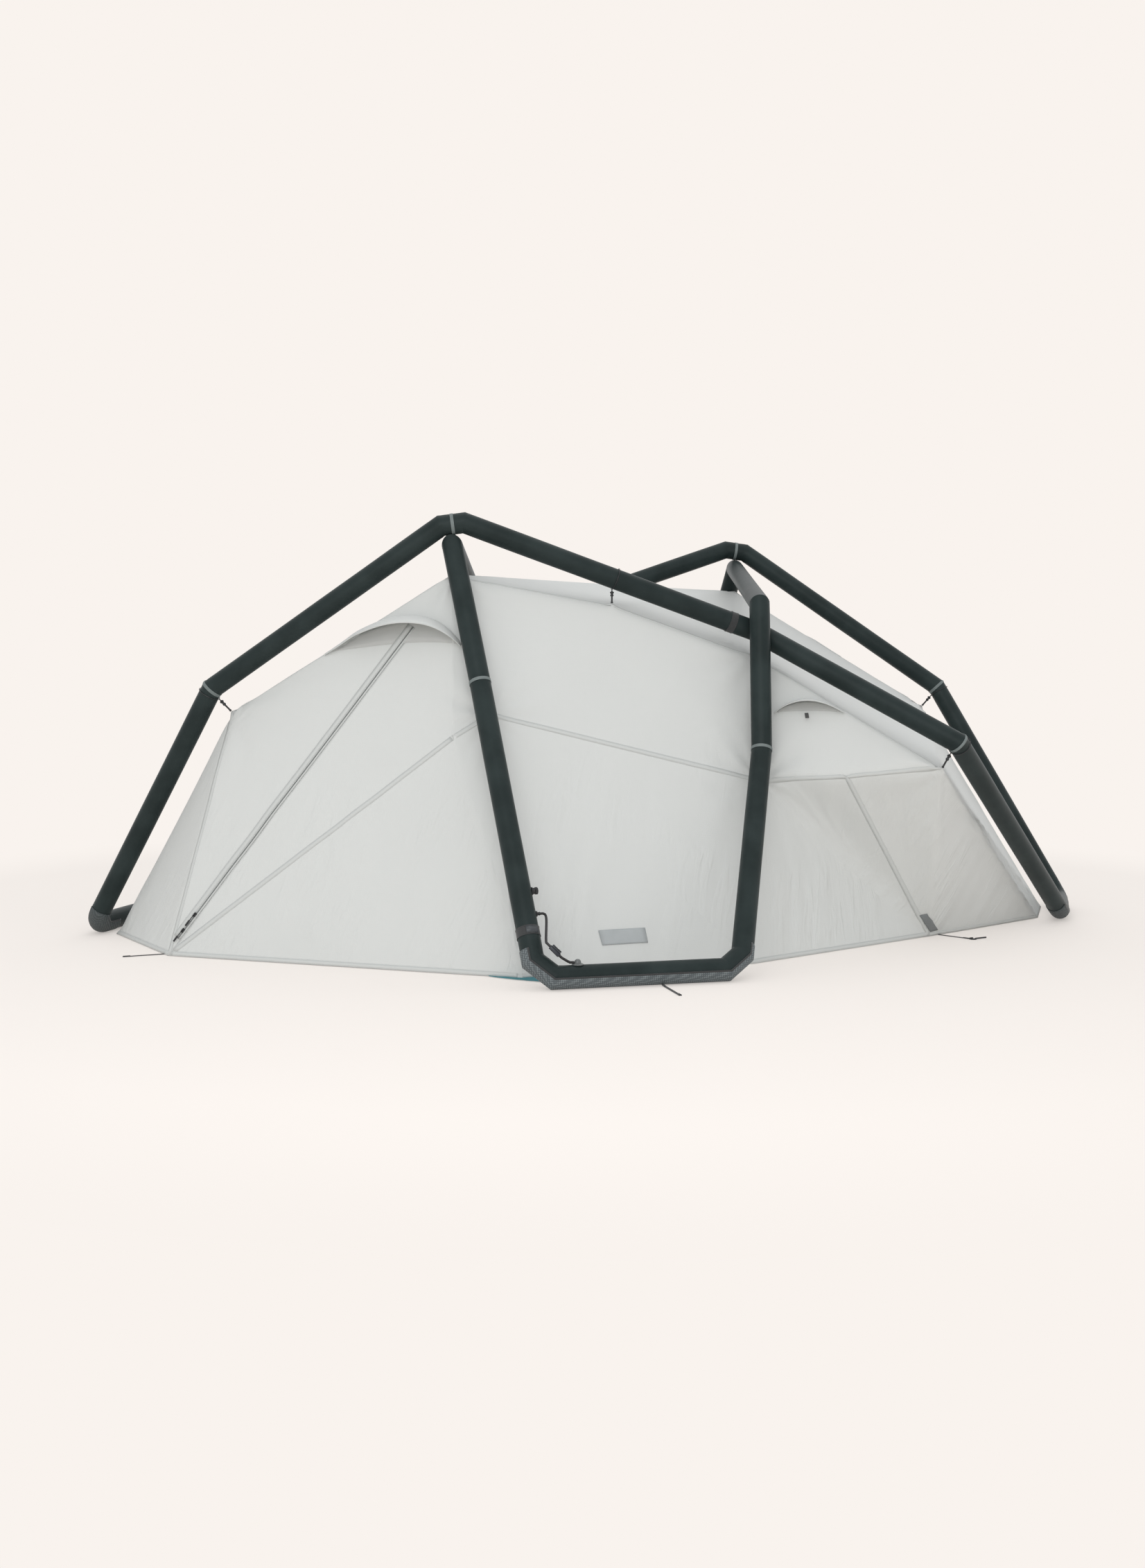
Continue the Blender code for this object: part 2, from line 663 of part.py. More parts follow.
def build_inner_tent(tent):
    """The sleeping cabin: a hanging shell on the rim of a floor tub."""
    peak_height = tent.at["peak"].z
    shape = bmesh.new()
    doors = []
    for prefix in ("", "rear_"):
        doors.append([prefix + name for name in ("zip_top", "hem_left", "seam_door")] + [False])
        doors.append([prefix + name for name in ("seam_door", "hem_left", "hem_door")] + [False])
    for a, b, c, _ in tent.panels() + doors:
        corners = [inner_place(tent.at[name], peak_height) for name in (a, b, c)]
        add_panel(shape, *corners, 1, 0.0)
    cloth_shell("inner_tent", shape, INNER_THICKNESS, "inner")
    rim = ["hem_left", "hem_door", "hem_front", "hem_right", "rear_hem_end"]
    rim += ["rear_" + name for name in rim[:4]] + ["hem_end"]
    tub = bmesh.new()
    floor = []
    for name in rim:
        place = inner_place(tent.at[name], peak_height)
        floor.append(tub.verts.new((place.x * TUB_FOOT_SHARE, place.y * TUB_FOOT_SHARE, TUB_FLOOR_HEIGHT)))
    bottom = tub.faces.new(floor)
    walls = bmesh.ops.extrude_edge_only(tub, edges=bottom.edges[:])
    for vert in walls["geom"]:
        if isinstance(vert, bmesh.types.BMVert):
            vert.co = Vector((vert.co.x / TUB_FOOT_SHARE, vert.co.y / TUB_FOOT_SHARE, TUB_WALL_HEIGHT))
    made = piece_from("floor_tub", tub, "tub")
    wall = made.modifiers.new("tub thickness", "SOLIDIFY")
    wall.thickness = TUB_THICKNESS
    wall.offset = 0.0


def box_piece(name, size, place, along, outward, kind, rounding=0.0):
    """A box with its length along one direction and its height outward; the place is its middle."""
    shape = bmesh.new()
    bmesh.ops.create_cube(shape, size=1.0)
    bmesh.ops.scale(shape, vec=size, verts=shape.verts)
    if rounding:
        bmesh.ops.bevel(shape, geom=shape.edges[:], offset=rounding, offset_type="OFFSET", segments=2,
                        profile=0.5, affect="EDGES")
    made = piece_from(name, shape, kind)
    made.matrix_world = placed(place, along, outward)
    return made


def join(made, helper):
    """Joins a helper solid to a piece with a Boolean."""
    collection("inflatable_tent").objects.unlink(helper)
    collection("cutters").objects.link(helper)
    helper.hide_render = True
    helper.display_type = "WIRE"
    union = made.modifiers.new("join " + helper.name, "BOOLEAN")
    union.operation = "UNION"
    union.solver = "EXACT"
    union.object = helper


def placed(place, along, outward):
    """A matrix with X along one direction and Z as near outward as that allows."""
    x = along.normalized()
    z = (outward - x * outward.dot(x)).normalized()
    y = z.cross(x)
    turn = Matrix((x, y, z)).transposed().to_4x4()
    turn.translation = place
    return turn


def turned_piece(name, profile, place, axis, kind):
    """A piece turned about its own Z axis from a profile of radius and height, top to bottom."""
    shape = bmesh.new()
    points = [shape.verts.new((radius, 0.0, height)) for radius, height in profile]
    for a, b in zip(points, points[1:]):
        shape.edges.new((a, b))
    mesh = bpy.data.meshes.new(name)
    shape.to_mesh(mesh)
    shape.free()
    made = bpy.data.objects.new(name, mesh)
    collection("inflatable_tent").objects.link(made)
    screw = made.modifiers.new("turning", "SCREW")
    screw.steps = ROUND_SIDES
    screw.render_steps = ROUND_SIDES
    screw.use_merge_vertices = True
    screw.merge_threshold = MERGE_DISTANCE
    across = axis.orthogonal()
    made.matrix_world = placed(place, across, axis)
    finish(made, kind)
    return made


def build_zips(tent):
    """The zip tape beside each door, with its two sliders and their pulls."""
    for side, prefix in (("front", ""), ("rear", "rear_")):
        top = tent.at[prefix + "zip_top"]
        foot = tent.at[prefix + "hem_left"]
        corner = tent.at[prefix + "end_corner"]
        along = (top - foot).normalized()
        outward = along.cross(corner - foot).normalized()
        if outward.dot(Vector((foot.x, foot.y, 0.0))) < 0:
            outward = -outward
        inward_panel = (corner - foot - along * (corner - foot).dot(along)).normalized()
        lie = FABRIC_THICKNESS / 2 + SEAT_GAP + ZIP_TAPE_THICKNESS / 2
        shift = inward_panel * (ZIP_TAPE_WIDTH / 2 + SEAT_GAP) + outward * lie
        length = (top - foot).length
        start = foot + along * ZIP_END_MARGIN + shift
        tape_length = length - ZIP_END_MARGIN * 2
        middle = start + along * (tape_length / 2)
        tape_size = (tape_length, ZIP_TAPE_WIDTH, ZIP_TAPE_THICKNESS)
        box_piece(side + "_zip_tape", tape_size, middle, along, outward, "black")
        ride = outward * (ZIP_TAPE_THICKNESS / 2 + SEAT_GAP + SLIDER_HEIGHT / 2)
        for n, word in enumerate(("lower", "upper")):
            place = start + along * (SLIDER_LENGTH + SLIDER_PITCH * n) + ride
            slider_size = (SLIDER_LENGTH, SLIDER_WIDTH, SLIDER_HEIGHT)
            slider = box_piece(side + "_" + word + "_slider", slider_size, place, along, outward,
                               "black", SLIDER_HEIGHT / 5)
            hang = place + outward * (SLIDER_HEIGHT / 2) - along * (PULL_LENGTH / 2 - SLIDER_LENGTH / 4)
            pull_size = (PULL_LENGTH, PULL_WIDTH, PULL_THICKNESS)
            pull = box_piece(slider.name + "_pull", pull_size, hang, along, outward, "black",
                             PULL_THICKNESS / 5)
            join(slider, pull)


def facet(a, b, c):
    """A place on a panel and the panel's outward normal."""
    normal = (b - a).cross(c - a).normalized()
    if normal.dot(Vector((a.x + b.x + c.x, a.y + b.y + c.y, 0.0))) < 0:
        normal = -normal
    return a, normal


def on_cloth(place, way, facets):
    """The place moved along a way until it meets the first of the facets."""
    return place + way * min((on - place).dot(normal) / way.dot(normal) for on, normal in facets)


def hood(name, left, crown, right, facets, reach):
    """A brim that bows up over a vent and stands out from its panels."""
    way = sum((normal for _, normal in facets), Vector()).normalized()
    up = way.cross(left - right).normalized()
    if up.z < 0:
        up = -up
    lift = crown * 2 - (left + right) / 2
    rise = (crown - (left + right) / 2).dot(up)
    seat = FABRIC_THICKNESS / 2 + SEAT_GAP
    shape = bmesh.new()
    rows = []
    for i in range(HOOD_STEPS + 1):
        t = i / HOOD_STEPS
        base = left * (1 - t) ** 2 + lift * (2 * t * (1 - t)) + right * t ** 2
        base = on_cloth(base, way, facets)
        bow = math.sin(math.pi * (HOOD_END_SHARE + (1 - 2 * HOOD_END_SHARE) * t))
        row = []
        for j in range(HOOD_ROWS + 1):
            out = j / HOOD_ROWS
            droop = rise * HOOD_DROOP_SHARE * out * out * bow
            row.append(shape.verts.new(base + way * (seat + reach * bow * out) - up * droop))
        rows.append(row)
    for one, two in zip(rows, rows[1:]):
        for j in range(HOOD_ROWS):
            shape.faces.new((one[j], two[j], two[j + 1], one[j + 1]))
    return cloth_shell(name, shape, HOOD_THICKNESS, "fabric")


def build_hoods(tent):
    """A hood over each door and one over each side vent, with the side vent's strut."""
    for side, prefix in (("front", ""), ("rear", "rear_")):
        names = ("end_corner", "zip_top", "peak", "leg_left", "hem_left", "seam_door")
        corner, top, peak, leg, hem, seam = [tent.at[prefix + name] for name in names]
        facets = (facet(corner, hem, peak), facet(peak, seam, leg))
        left = corner.lerp(peak, DOOR_HOOD_LEFT_SHARE)
        crown = top.lerp(corner.lerp(peak, DOOR_HOOD_CROWN_SHARE), 0.5)
        right = top.lerp(peak.lerp(leg, DOOR_HOOD_DROP_SHARE), DOOR_HOOD_RIGHT_SHARE)
        hood(side + "_door_hood", left, crown, right, facets, DOOR_HOOD_REACH)
        top, leg, corner = [tent.at[prefix + name] for name in ("crossing", "leg_right", "side_corner")]
        panel = facet(top, leg, corner)
        left, crown, right, foot = [leg + (top - leg) * a + (corner - leg) * b for a, b in VENT_HOOD_SHARES]
        hood(side + "_vent_hood", left, crown, right, (panel,), VENT_HOOD_REACH)
        normal = panel[1]
        up = normal.cross(corner - leg).normalized()
        if up.z < 0:
            up = -up
        strut_at = foot + normal * (FABRIC_THICKNESS / 2 + SEAT_GAP + STRUT_LENGTH / 2)
        strut_size = (STRUT_LENGTH, STRUT_WIDTH, STRUT_THICKNESS)
        box_piece(side + "_vent_strut", strut_size, strut_at, normal, up, "black", STRUT_THICKNESS / 5)


def tie_pair(word, start, end, stations):
    """A turned tie between two places, at the front and at the rear."""
    span = end - start
    side_way = span.orthogonal().normalized()
    lift = side_way.cross(span.normalized())
    rows = []
    for share, radius in stations:
        ring = circle(radius, HOOK_SIDES)
        rows.append([start + span * share + side_way * across + lift * along for across, along in ring])
    for side in ("front", "rear"):
        shape = bmesh.new()
        add_loft(shape, rows if side == "front" else [turn_to_rear(row) for row in rows])
        piece_from(side + "_" + word, shape, "black")


def build_hooks(frame, tent):
    """Hooks between the frame and the outer tent, and the toggles that hold up the inner tent."""
    path = frame.arch()
    ties = [
        ("end", path[1], tent.at["end_corner"], (path[0], path[2])),
        ("middle", (path[3] + path[4]) / 2, tent.at["crease"], (path[3], path[4])),
        ("crossing", path[4], tent.at["crossing"], (path[3], path[5])),
        ("side", path[5], tent.at["side_corner"], (path[4], path[6])),
    ]
    for word, tube_place, cloth_place, neighbours in ties:
        way = (cloth_place - tube_place).normalized()
        slant = min(way.cross((place - tube_place).normalized()).length for place in neighbours)
        start = tube_place + way * ((TUBE_RADIUS + TAPE_THICKNESS) / slant + SEAT_GAP * 2)
        end = cloth_place - way * (FABRIC_THICKNESS / 2 + SEAT_GAP * 2)
        tie_pair(word + "_hook", start, end, HOOK_STATIONS)
    peak = tent.at["peak"]
    inner_peak = inner_place(peak, peak.z)
    way = (inner_peak - peak).normalized()
    start = peak + way * (FABRIC_THICKNESS + SEAT_GAP * 4)
    end = inner_peak - way * (INNER_THICKNESS / 2 + SEAT_GAP)
    tie_pair("inner_toggle", start, end, TOGGLE_STATIONS)


def build_crossing_bands(frame):
    """The webbing round each arch beside its crossing, and the band round the front left leg."""
    crossing = frame.at["crossing"]
    way = (crossing - frame.arch()[3]).normalized()
    start = crossing - way * (TUBE_DIAMETER * 1.1)
    for side, path in for_each_side([start - way * CROSSING_BAND_WIDTH, start]):
        shape = bmesh.new()
        add_sleeve(shape, path, LEG_BAND_THICKNESS)
        piece_from(side + "_crossing_band", shape, "strap")
    bend, corner = frame.at["hoop_bend_left"], frame.at["corner_left"]
    leg = (corner - bend).normalized()
    middle = bend.lerp(corner, LEG_BAND_SHARE)
    half = leg * (LEG_BAND_WIDTH / 2)
    shape = bmesh.new()
    add_sleeve(shape, [middle - half, middle + half], LEG_BAND_THICKNESS)
    piece_from("leg_band", shape, "strap")


def smooth_route(knots, steps):
    """Places along a smooth curve through a few knots, straight at its start and at its end."""
    spans = len(knots) - 3
    route = [knots[0]]
    for n in range(steps + 1):
        place = n / steps * spans
        i = min(int(place), spans - 1)
        t = place - i
        a, b, c, d = knots[i:i + 4]
        square = (2 * a - 5 * b + 4 * c - d) * t * t
        cube = (3 * b - a - 3 * c + d) * t ** 3
        route.append(0.5 * ((2 * b) + (c - a) * t + square + cube))
    route.append(knots[-1])
    return route


def hose_piece(name, knots):
    """A length of hose as a bevelled curve."""
    curve = bpy.data.curves.new(name, "CURVE")
    curve.dimensions = "3D"
    curve.bevel_depth = HOSE_DIAMETER / 2
    curve.bevel_resolution = 3
    curve.use_fill_caps = True
    spline = curve.splines.new("POLY")
    places = smooth_route(knots, HOSE_STEPS)
    spline.points.add(len(places) - 1)
    for point, place in zip(spline.points, places):
        point.co = (*place, 1.0)
    made = bpy.data.objects.new(name, curve)
    collection("inflatable_tent").objects.link(made)
    finish(made, "hose")
    return made


def build_fittings(frame):
    """The inflation valve with its cap, and the shut-off hose between the leg and the ground tube."""
    at = frame.at
    bend, corner, far_corner = at["hoop_bend_left"], at["corner_left"], at["corner_right"]
    leg = (corner - bend).normalized()
    ground = (far_corner - corner).normalized()
    inner = (ground - leg * ground.dot(leg)).normalized()
    facet = TUBE_RADIUS + SEAT_GAP
    valve_at = bend.lerp(corner, VALVE_SHARE) + inner * facet
    low = VALVE_HEIGHT
    neck = VALVE_RADIUS * 0.80
    body = [(0.0, low), (neck, low), (neck, low * 0.45), (VALVE_RADIUS, low * 0.35), (VALVE_RADIUS, 0.0),
            (0.0, 0.0)]
    turned_piece("valve_body", body, valve_at, inner, "black")
    cap_at = valve_at + inner * (VALVE_HEIGHT + SEAT_GAP)
    top = VALVE_CAP_HEIGHT
    cap = [(0.0, top), (VALVE_CAP_RADIUS * 0.70, top), (VALVE_CAP_RADIUS, top * 0.80),
           (VALVE_CAP_RADIUS, 0.0), (0.0, 0.0)]
    turned_piece("valve_cap", cap, cap_at, inner, "black")
    elbow_at = bend.lerp(corner, ELBOW_SHARE) + inner * facet
    stem = FITTING_RADIUS * 0.60
    fitting = [(0.0, FITTING_HEIGHT), (stem, FITTING_HEIGHT), (stem, FITTING_HEIGHT * 0.40),
               (FITTING_RADIUS, FITTING_HEIGHT * 0.25), (FITTING_RADIUS, 0.0), (0.0, 0.0)]
    turned_piece("hose_fitting", fitting, elbow_at, inner, "black")
    dome_at = corner + ground * DOME_RUN + UP * facet
    rim = DOME_FLANGE_HEIGHT * 0.7
    dome = [(0.0, DOME_HEIGHT), (DOME_RADIUS * 0.55, DOME_HEIGHT * 0.92),
            (DOME_RADIUS * 0.88, DOME_HEIGHT * 0.62), (DOME_RADIUS, DOME_FLANGE_HEIGHT),
            (DOME_FLANGE_RADIUS, rim), (DOME_FLANGE_RADIUS, 0.0), (0.0, 0.0)]
    turned_piece("dome_fitting", dome, dome_at, UP, "black")
    clamp_at = corner + ground * CLAMP_RUN + UP * CLAMP_DROP
    clamp_way = (dome_at + UP * (DOME_HEIGHT / 2) - clamp_at).normalized()
    clamp_way = (clamp_way + leg * 0.6).normalized()
    clamp_up = (ground * 0.8 + UP).normalized()
    clamp_size = (CLAMP_LENGTH, CLAMP_WIDTH, CLAMP_HEIGHT)
    box_piece("clamp_body", clamp_size, clamp_at, clamp_way, clamp_up, "black", CLAMP_HEIGHT / 6)
    lever_up = (clamp_up - clamp_way * clamp_up.dot(clamp_way)).normalized()
    lever_at = clamp_at + lever_up * (CLAMP_HEIGHT / 2 + SEAT_GAP + CLAMP_LEVER_THICKNESS / 2)
    lever_size = (CLAMP_LENGTH * 0.85, CLAMP_WIDTH * 0.6, CLAMP_LEVER_THICKNESS)
    box_piece("clamp_lever", lever_size, lever_at, clamp_way, clamp_up, "black",
              CLAMP_LEVER_THICKNESS / 5)
    hose_radius = HOSE_DIAMETER / 2
    start = elbow_at + inner * (FITTING_HEIGHT + SEAT_GAP)
    enter = clamp_at - clamp_way * (CLAMP_LENGTH / 2 + SEAT_GAP)
    bow = start + inner * (hose_radius * 4) + leg * (hose_radius * 4)
    settle = enter - clamp_way * hose_radius * 4
    hose_piece("upper_hose", [start, start + inner * hose_radius * 2, bow, settle, enter])
    leave = clamp_at + clamp_way * (CLAMP_LENGTH / 2 + SEAT_GAP)
    side_way = -ground
    end = dome_at + UP * (DOME_FLANGE_HEIGHT + SEAT_GAP + hose_radius) + side_way * (DOME_RADIUS + SEAT_GAP)
    settle = end + side_way * hose_radius * 3
    hose_piece("lower_hose", [leave, leave + clamp_way * hose_radius * 2, settle, end])


def strap_route(sewn_at, outward, reach):
    """A strap's path: sewn down the cloth's outer face, then out over the ground."""
    level = Vector((outward.x, outward.y, 0.0)).normalized()
    floor = STRAP_THICKNESS / 2 + SEAT_GAP
    top = sewn_at + UP * STRAP_SEWN_LENGTH
    low = sewn_at.copy()
    low.z = floor + STRAP_THICKNESS * 2
    turn = low + level * (STRAP_THICKNESS * 3)
    turn.z = floor
    return [top, low, turn, turn + level * reach]


def add_strap(shape, route):
    """Adds a flat strap along a route whose last run lies on the ground."""
    add_loft(shape, sections(route, rectangle(STRAP_WIDTH, STRAP_THICKNESS), len(route) - 2))


def build_ground_pieces(frame, tent):
    """The peg straps and the pegs' hooks."""
    seat = FABRIC_THICKNESS / 2 + SEAT_GAP * 2 + STRAP_THICKNESS / 2
    for side, prefix in (("front", ""), ("rear", "rear_")):
        other = "rear_" if side == "front" else ""
        near, end, corner = [tent.at[prefix + name] for name in ("hem_left", "hem_end", "end_corner")]
        left_normal = facet(near, end, corner)[1]
        left = near.lerp(end, 0.06)
        hem, far = tent.at[prefix + "hem_right"], tent.at[other + "hem_end"]
        top = tent.at[prefix + "side_corner"]
        right_normal = facet(hem, far, top)[1]
        right = hem.lerp(far, 0.05)
        guard_mid = frame.at["corner_left"].lerp(frame.at["corner_right"], 0.60)
        ground = (frame.at["corner_right"] - frame.at["corner_left"]).normalized()
        front_way = ground.cross(UP).normalized()
        if side == "rear":
            guard_mid = half_turn(guard_mid)
            front_way = half_turn(front_way)
        front = guard_mid + front_way * (GUARD_OUTER_RADIUS + SEAT_GAP + STRAP_THICKNESS / 2)
        places = (
            ("corner", left, left_normal, seat),
            ("side", right, right_normal, seat),
            ("hoop", front, front_way, 0.0),
        )
        for word, place, normal, lift in places:
            level = Vector((normal.x, normal.y, 0.0)).normalized()
            lean = UP - normal * normal.z
            sewn = place + normal * lift
            route = strap_route(sewn, level, STRAP_REACH)
            if lift:
                route[0] = sewn + lean.normalized() * STRAP_SEWN_LENGTH
                route[1] = sewn.copy()
            shape = bmesh.new()
            add_strap(shape, route)
            piece_from(side + "_" + word + "_strap", shape, "strap")
            if word == "side":
                peg = bmesh.new()
                add_peg_hook(peg, route[-1], level)
                piece_from(side + "_side_peg", peg, "black")


def add_peg_hook(shape, place, level):
    """Adds a bent wire hook that lies on the ground in line with a strap's end."""
    floor = HOOK_WIRE_RADIUS + SEAT_GAP
    start = place + level * (HOOK_WIRE_RADIUS + SEAT_GAP)
    side = level.cross(UP)
    centre = Vector((start.x, start.y, floor)) + level * HOOK_LOOP_RADIUS
    route = []
    for k in range(9):
        turn = math.pi * (1.35 - k * 0.2125)
        around = level * math.cos(turn) + side * math.sin(turn)
        route.append(centre + around * HOOK_LOOP_RADIUS)
    way = (route[-1] - route[-2]).normalized()
    route.append(route[-1] + (way + level).normalized() * HOOK_SHANK)
    add_loft(shape, sections(route, circle(HOOK_WIRE_RADIUS, 8), 0))


def main():
    """Builds every piece of the tent."""
    remove_everything()
    frame = Frame()
    tent = OuterTent(frame)
    build_frame(frame)
    build_outer_tent(tent)
    build_inner_tent(tent)
    build_zips(tent)
    build_hoods(tent)
    build_hooks(frame, tent)
    build_crossing_bands(frame)
    build_fittings(frame)
    build_ground_pieces(frame, tent)


main()
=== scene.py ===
"""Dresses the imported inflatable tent: air tubes, fly, doors, hoods, fittings, straps and studio.

Metres, +Z up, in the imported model's own frame. The origin is on the ground under the centre of the
roof. The rear half of the tent is the front half turned half a turn about the Z axis.
"""

import logging
import math
from dataclasses import dataclass, field
from enum import Enum
from typing import Any, Callable, Iterable, Sequence

import bmesh
import bpy
from bmesh.types import BMEdge, BMesh, BMVert
from bpy.types import Material, Object
from mathutils import Matrix, Vector, noise
from mathutils.bvhtree import BVHTree
from mathutils.geometry import intersect_point_line
from mathutils.kdtree import KDTree


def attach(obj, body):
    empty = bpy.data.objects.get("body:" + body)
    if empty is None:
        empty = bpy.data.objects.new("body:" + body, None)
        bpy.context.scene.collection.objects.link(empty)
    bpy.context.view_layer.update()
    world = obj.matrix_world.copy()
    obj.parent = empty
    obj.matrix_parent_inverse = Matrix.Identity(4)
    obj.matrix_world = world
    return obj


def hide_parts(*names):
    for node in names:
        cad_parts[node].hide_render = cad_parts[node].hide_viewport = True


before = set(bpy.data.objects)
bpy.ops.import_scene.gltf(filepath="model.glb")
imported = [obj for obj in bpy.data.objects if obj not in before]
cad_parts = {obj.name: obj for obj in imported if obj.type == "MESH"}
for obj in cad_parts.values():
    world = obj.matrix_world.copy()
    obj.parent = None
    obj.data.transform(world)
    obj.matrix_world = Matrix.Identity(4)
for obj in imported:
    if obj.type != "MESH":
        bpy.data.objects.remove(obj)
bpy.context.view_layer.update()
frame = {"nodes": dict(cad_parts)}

LOG = logging.getLogger("tent")
UP = Vector((0.0, 0.0, 1.0))
FRONT = Vector((0.0, -1.0, 0.0))

TUBE_RADIUS = 0.0325
SEAT = 0.0003
GROUND_AXIS = 0.03401
TUBE_SIDES = 64
FLY_THICKNESS = 0.0012
LIFT = 0.0009
PATCH_LIFT = 0.0022
HEM = 0.0006
MERGE = 0.00002
CLOTH_ANGLE = 70.0

NODES = {
    "foot_left": (-1.73500, -0.16790, GROUND_AXIS),
    "foot_right": (1.59967, -0.16790, GROUND_AXIS),
    "bend_left": (-1.32294, -0.39407, 0.81785),
    "apex": (-0.56908, -0.55821, 1.33200),
    "bend_right": (0.96900, -0.84703, 0.66400),
    "corner_left": (-0.37129, -1.25300, GROUND_AXIS),
    "corner_right": (0.22555, -1.16216, GROUND_AXIS),
    "hoop_bend_left": (-0.49534, -0.74929, 0.84382),
    "hoop_bend_right": (0.39124, -0.68226, 0.63603),
    "hoop_top": (0.41033, -0.54631, 1.09490),
    "crossing": (0.40678, -0.49766, 1.00953),
    "hoop_apex": (-0.56908, -0.55821, 1.26442),
}
APEX_HALF = Vector((0.03559, -0.00239, 0.00488))

CLOTH = {
    "end_corner": (-1.26400, -0.38505, 0.74500),
    "peak": (-0.56908, -0.55821, 1.18000),
    "crease": (-0.06336, -0.52913, 1.09120),
    "crossing": (0.40678, -0.49766, 0.93250),
    "side_corner": (0.92900, -0.82000, 0.58500),
    "leg_left": (-0.46247, -0.72875, 0.74624),
    "leg_right": (0.39974, -0.65463, 0.53509),
    "hem_foot": (-1.66400, -0.16200, HEM),
    "hem_left": (-1.44686, -0.60052, HEM),
    "hem_door": (-0.39749, -1.07456, HEM),
    "hem_front": (0.32531, -0.90500, HEM),
    "hem_right": (1.02200, -0.46000, HEM),
    "hem_heel": (1.54500, -0.10000, HEM),
    "zip_top": (-0.67360, -0.56325, 1.02576),
    "seam_middle": (0.65125, -0.73355, 0.55327),
    "seam_door": (-0.57900, -0.73842, 0.67536),
}


class Side(Enum):
    """The two halves of the tent."""

    FRONT = "front"
    REAR = "rear"

    @property
    def turn(self) -> Matrix:
        """The turn that takes the front half to this side."""
        return Matrix.Identity(4) if self is Side.FRONT else Matrix.Rotation(math.pi, 4, "Z")

    def part(self, word: str) -> str:
        """The name of this side's piece or body."""
        return f"{self.value}_{word}"


class Slot(Enum):
    """The record's material slots."""

    BLACK = "black"
    FABRIC = "fabric"
    GUARD = "guard"
    HOSE = "hose"
    INNER = "inner"
    STRAP = "strap"
    TUB = "tub"
    TUBE = "tube"


def half_turn(point: Vector) -> Vector:
    """The same place on the other side of the tent's axis."""
    return Vector((-point.x, -point.y, point.z))


def look_up(table: dict, name: str) -> Vector:
    """A place from a table; a rear_ name is turned half a turn."""
    place = Vector(table[name.removeprefix("rear_")])
    return half_turn(place) if name.startswith("rear_") else place


def node_place(name: str) -> Vector:
    """Place of one node of the frame's centrelines."""
    return look_up(NODES, name)


def cloth_place(name: str) -> Vector:
    """Place of one corner of the fly."""
    return look_up(CLOTH, name)


def cloth_line(*names: str) -> list[Vector]:
    """Places of several corners of the fly."""
    return [cloth_place(name) for name in names]


class Wire:
    """A shader socket that takes part in Python sums."""

    def __init__(self, shader: "Shader", socket: bpy.types.NodeSocket) -> None:
        """Keeps the socket and the shader it belongs to."""
        self.shader = shader
        self.socket = socket

    def maths(self, operation: str, *values: "Wire | float") -> "Wire":
        """Adds a Math node that works on the given values in order."""
        return self.shader.node("ShaderNodeMath", {"operation": operation}, dict(enumerate(values)))

    def __add__(self, other: "Wire | float") -> "Wire":
        """Sum."""
        return self.maths("ADD", self, other)

    def __sub__(self, other: "Wire | float") -> "Wire":
        """Difference."""
        return self.maths("SUBTRACT", self, other)

    def __rsub__(self, other: "Wire | float") -> "Wire":
        """Difference with the value on the left."""
        return self.maths("SUBTRACT", other, self)

    def __mul__(self, other: "Wire | float") -> "Wire":
        """Product."""
        return self.maths("MULTIPLY", self, other)

    def __gt__(self, edge: "Wire | float") -> "Wire":
        """One where the value is over the edge, and zero elsewhere."""
        return self.maths("GREATER_THAN", self, edge)

    def wave(self) -> "Wire":
        """Sine."""
        return self.maths("SINE", self)

    def size(self) -> "Wire":
        """Value without its sign."""
        return self.maths("ABSOLUTE", self)

    def most(self, other: "Wire | float") -> "Wire":
        """The greater of two."""
        return self.maths("MAXIMUM", self, other)

    def ramp(self, low: float, high: float) -> "Wire":
        """Smooth step from zero at the low value to one at the high value."""
        settings = {"interpolation_type": "SMOOTHSTEP"}
        return self.shader.node("ShaderNodeMapRange", settings, {0: self, 1: low, 2: high})


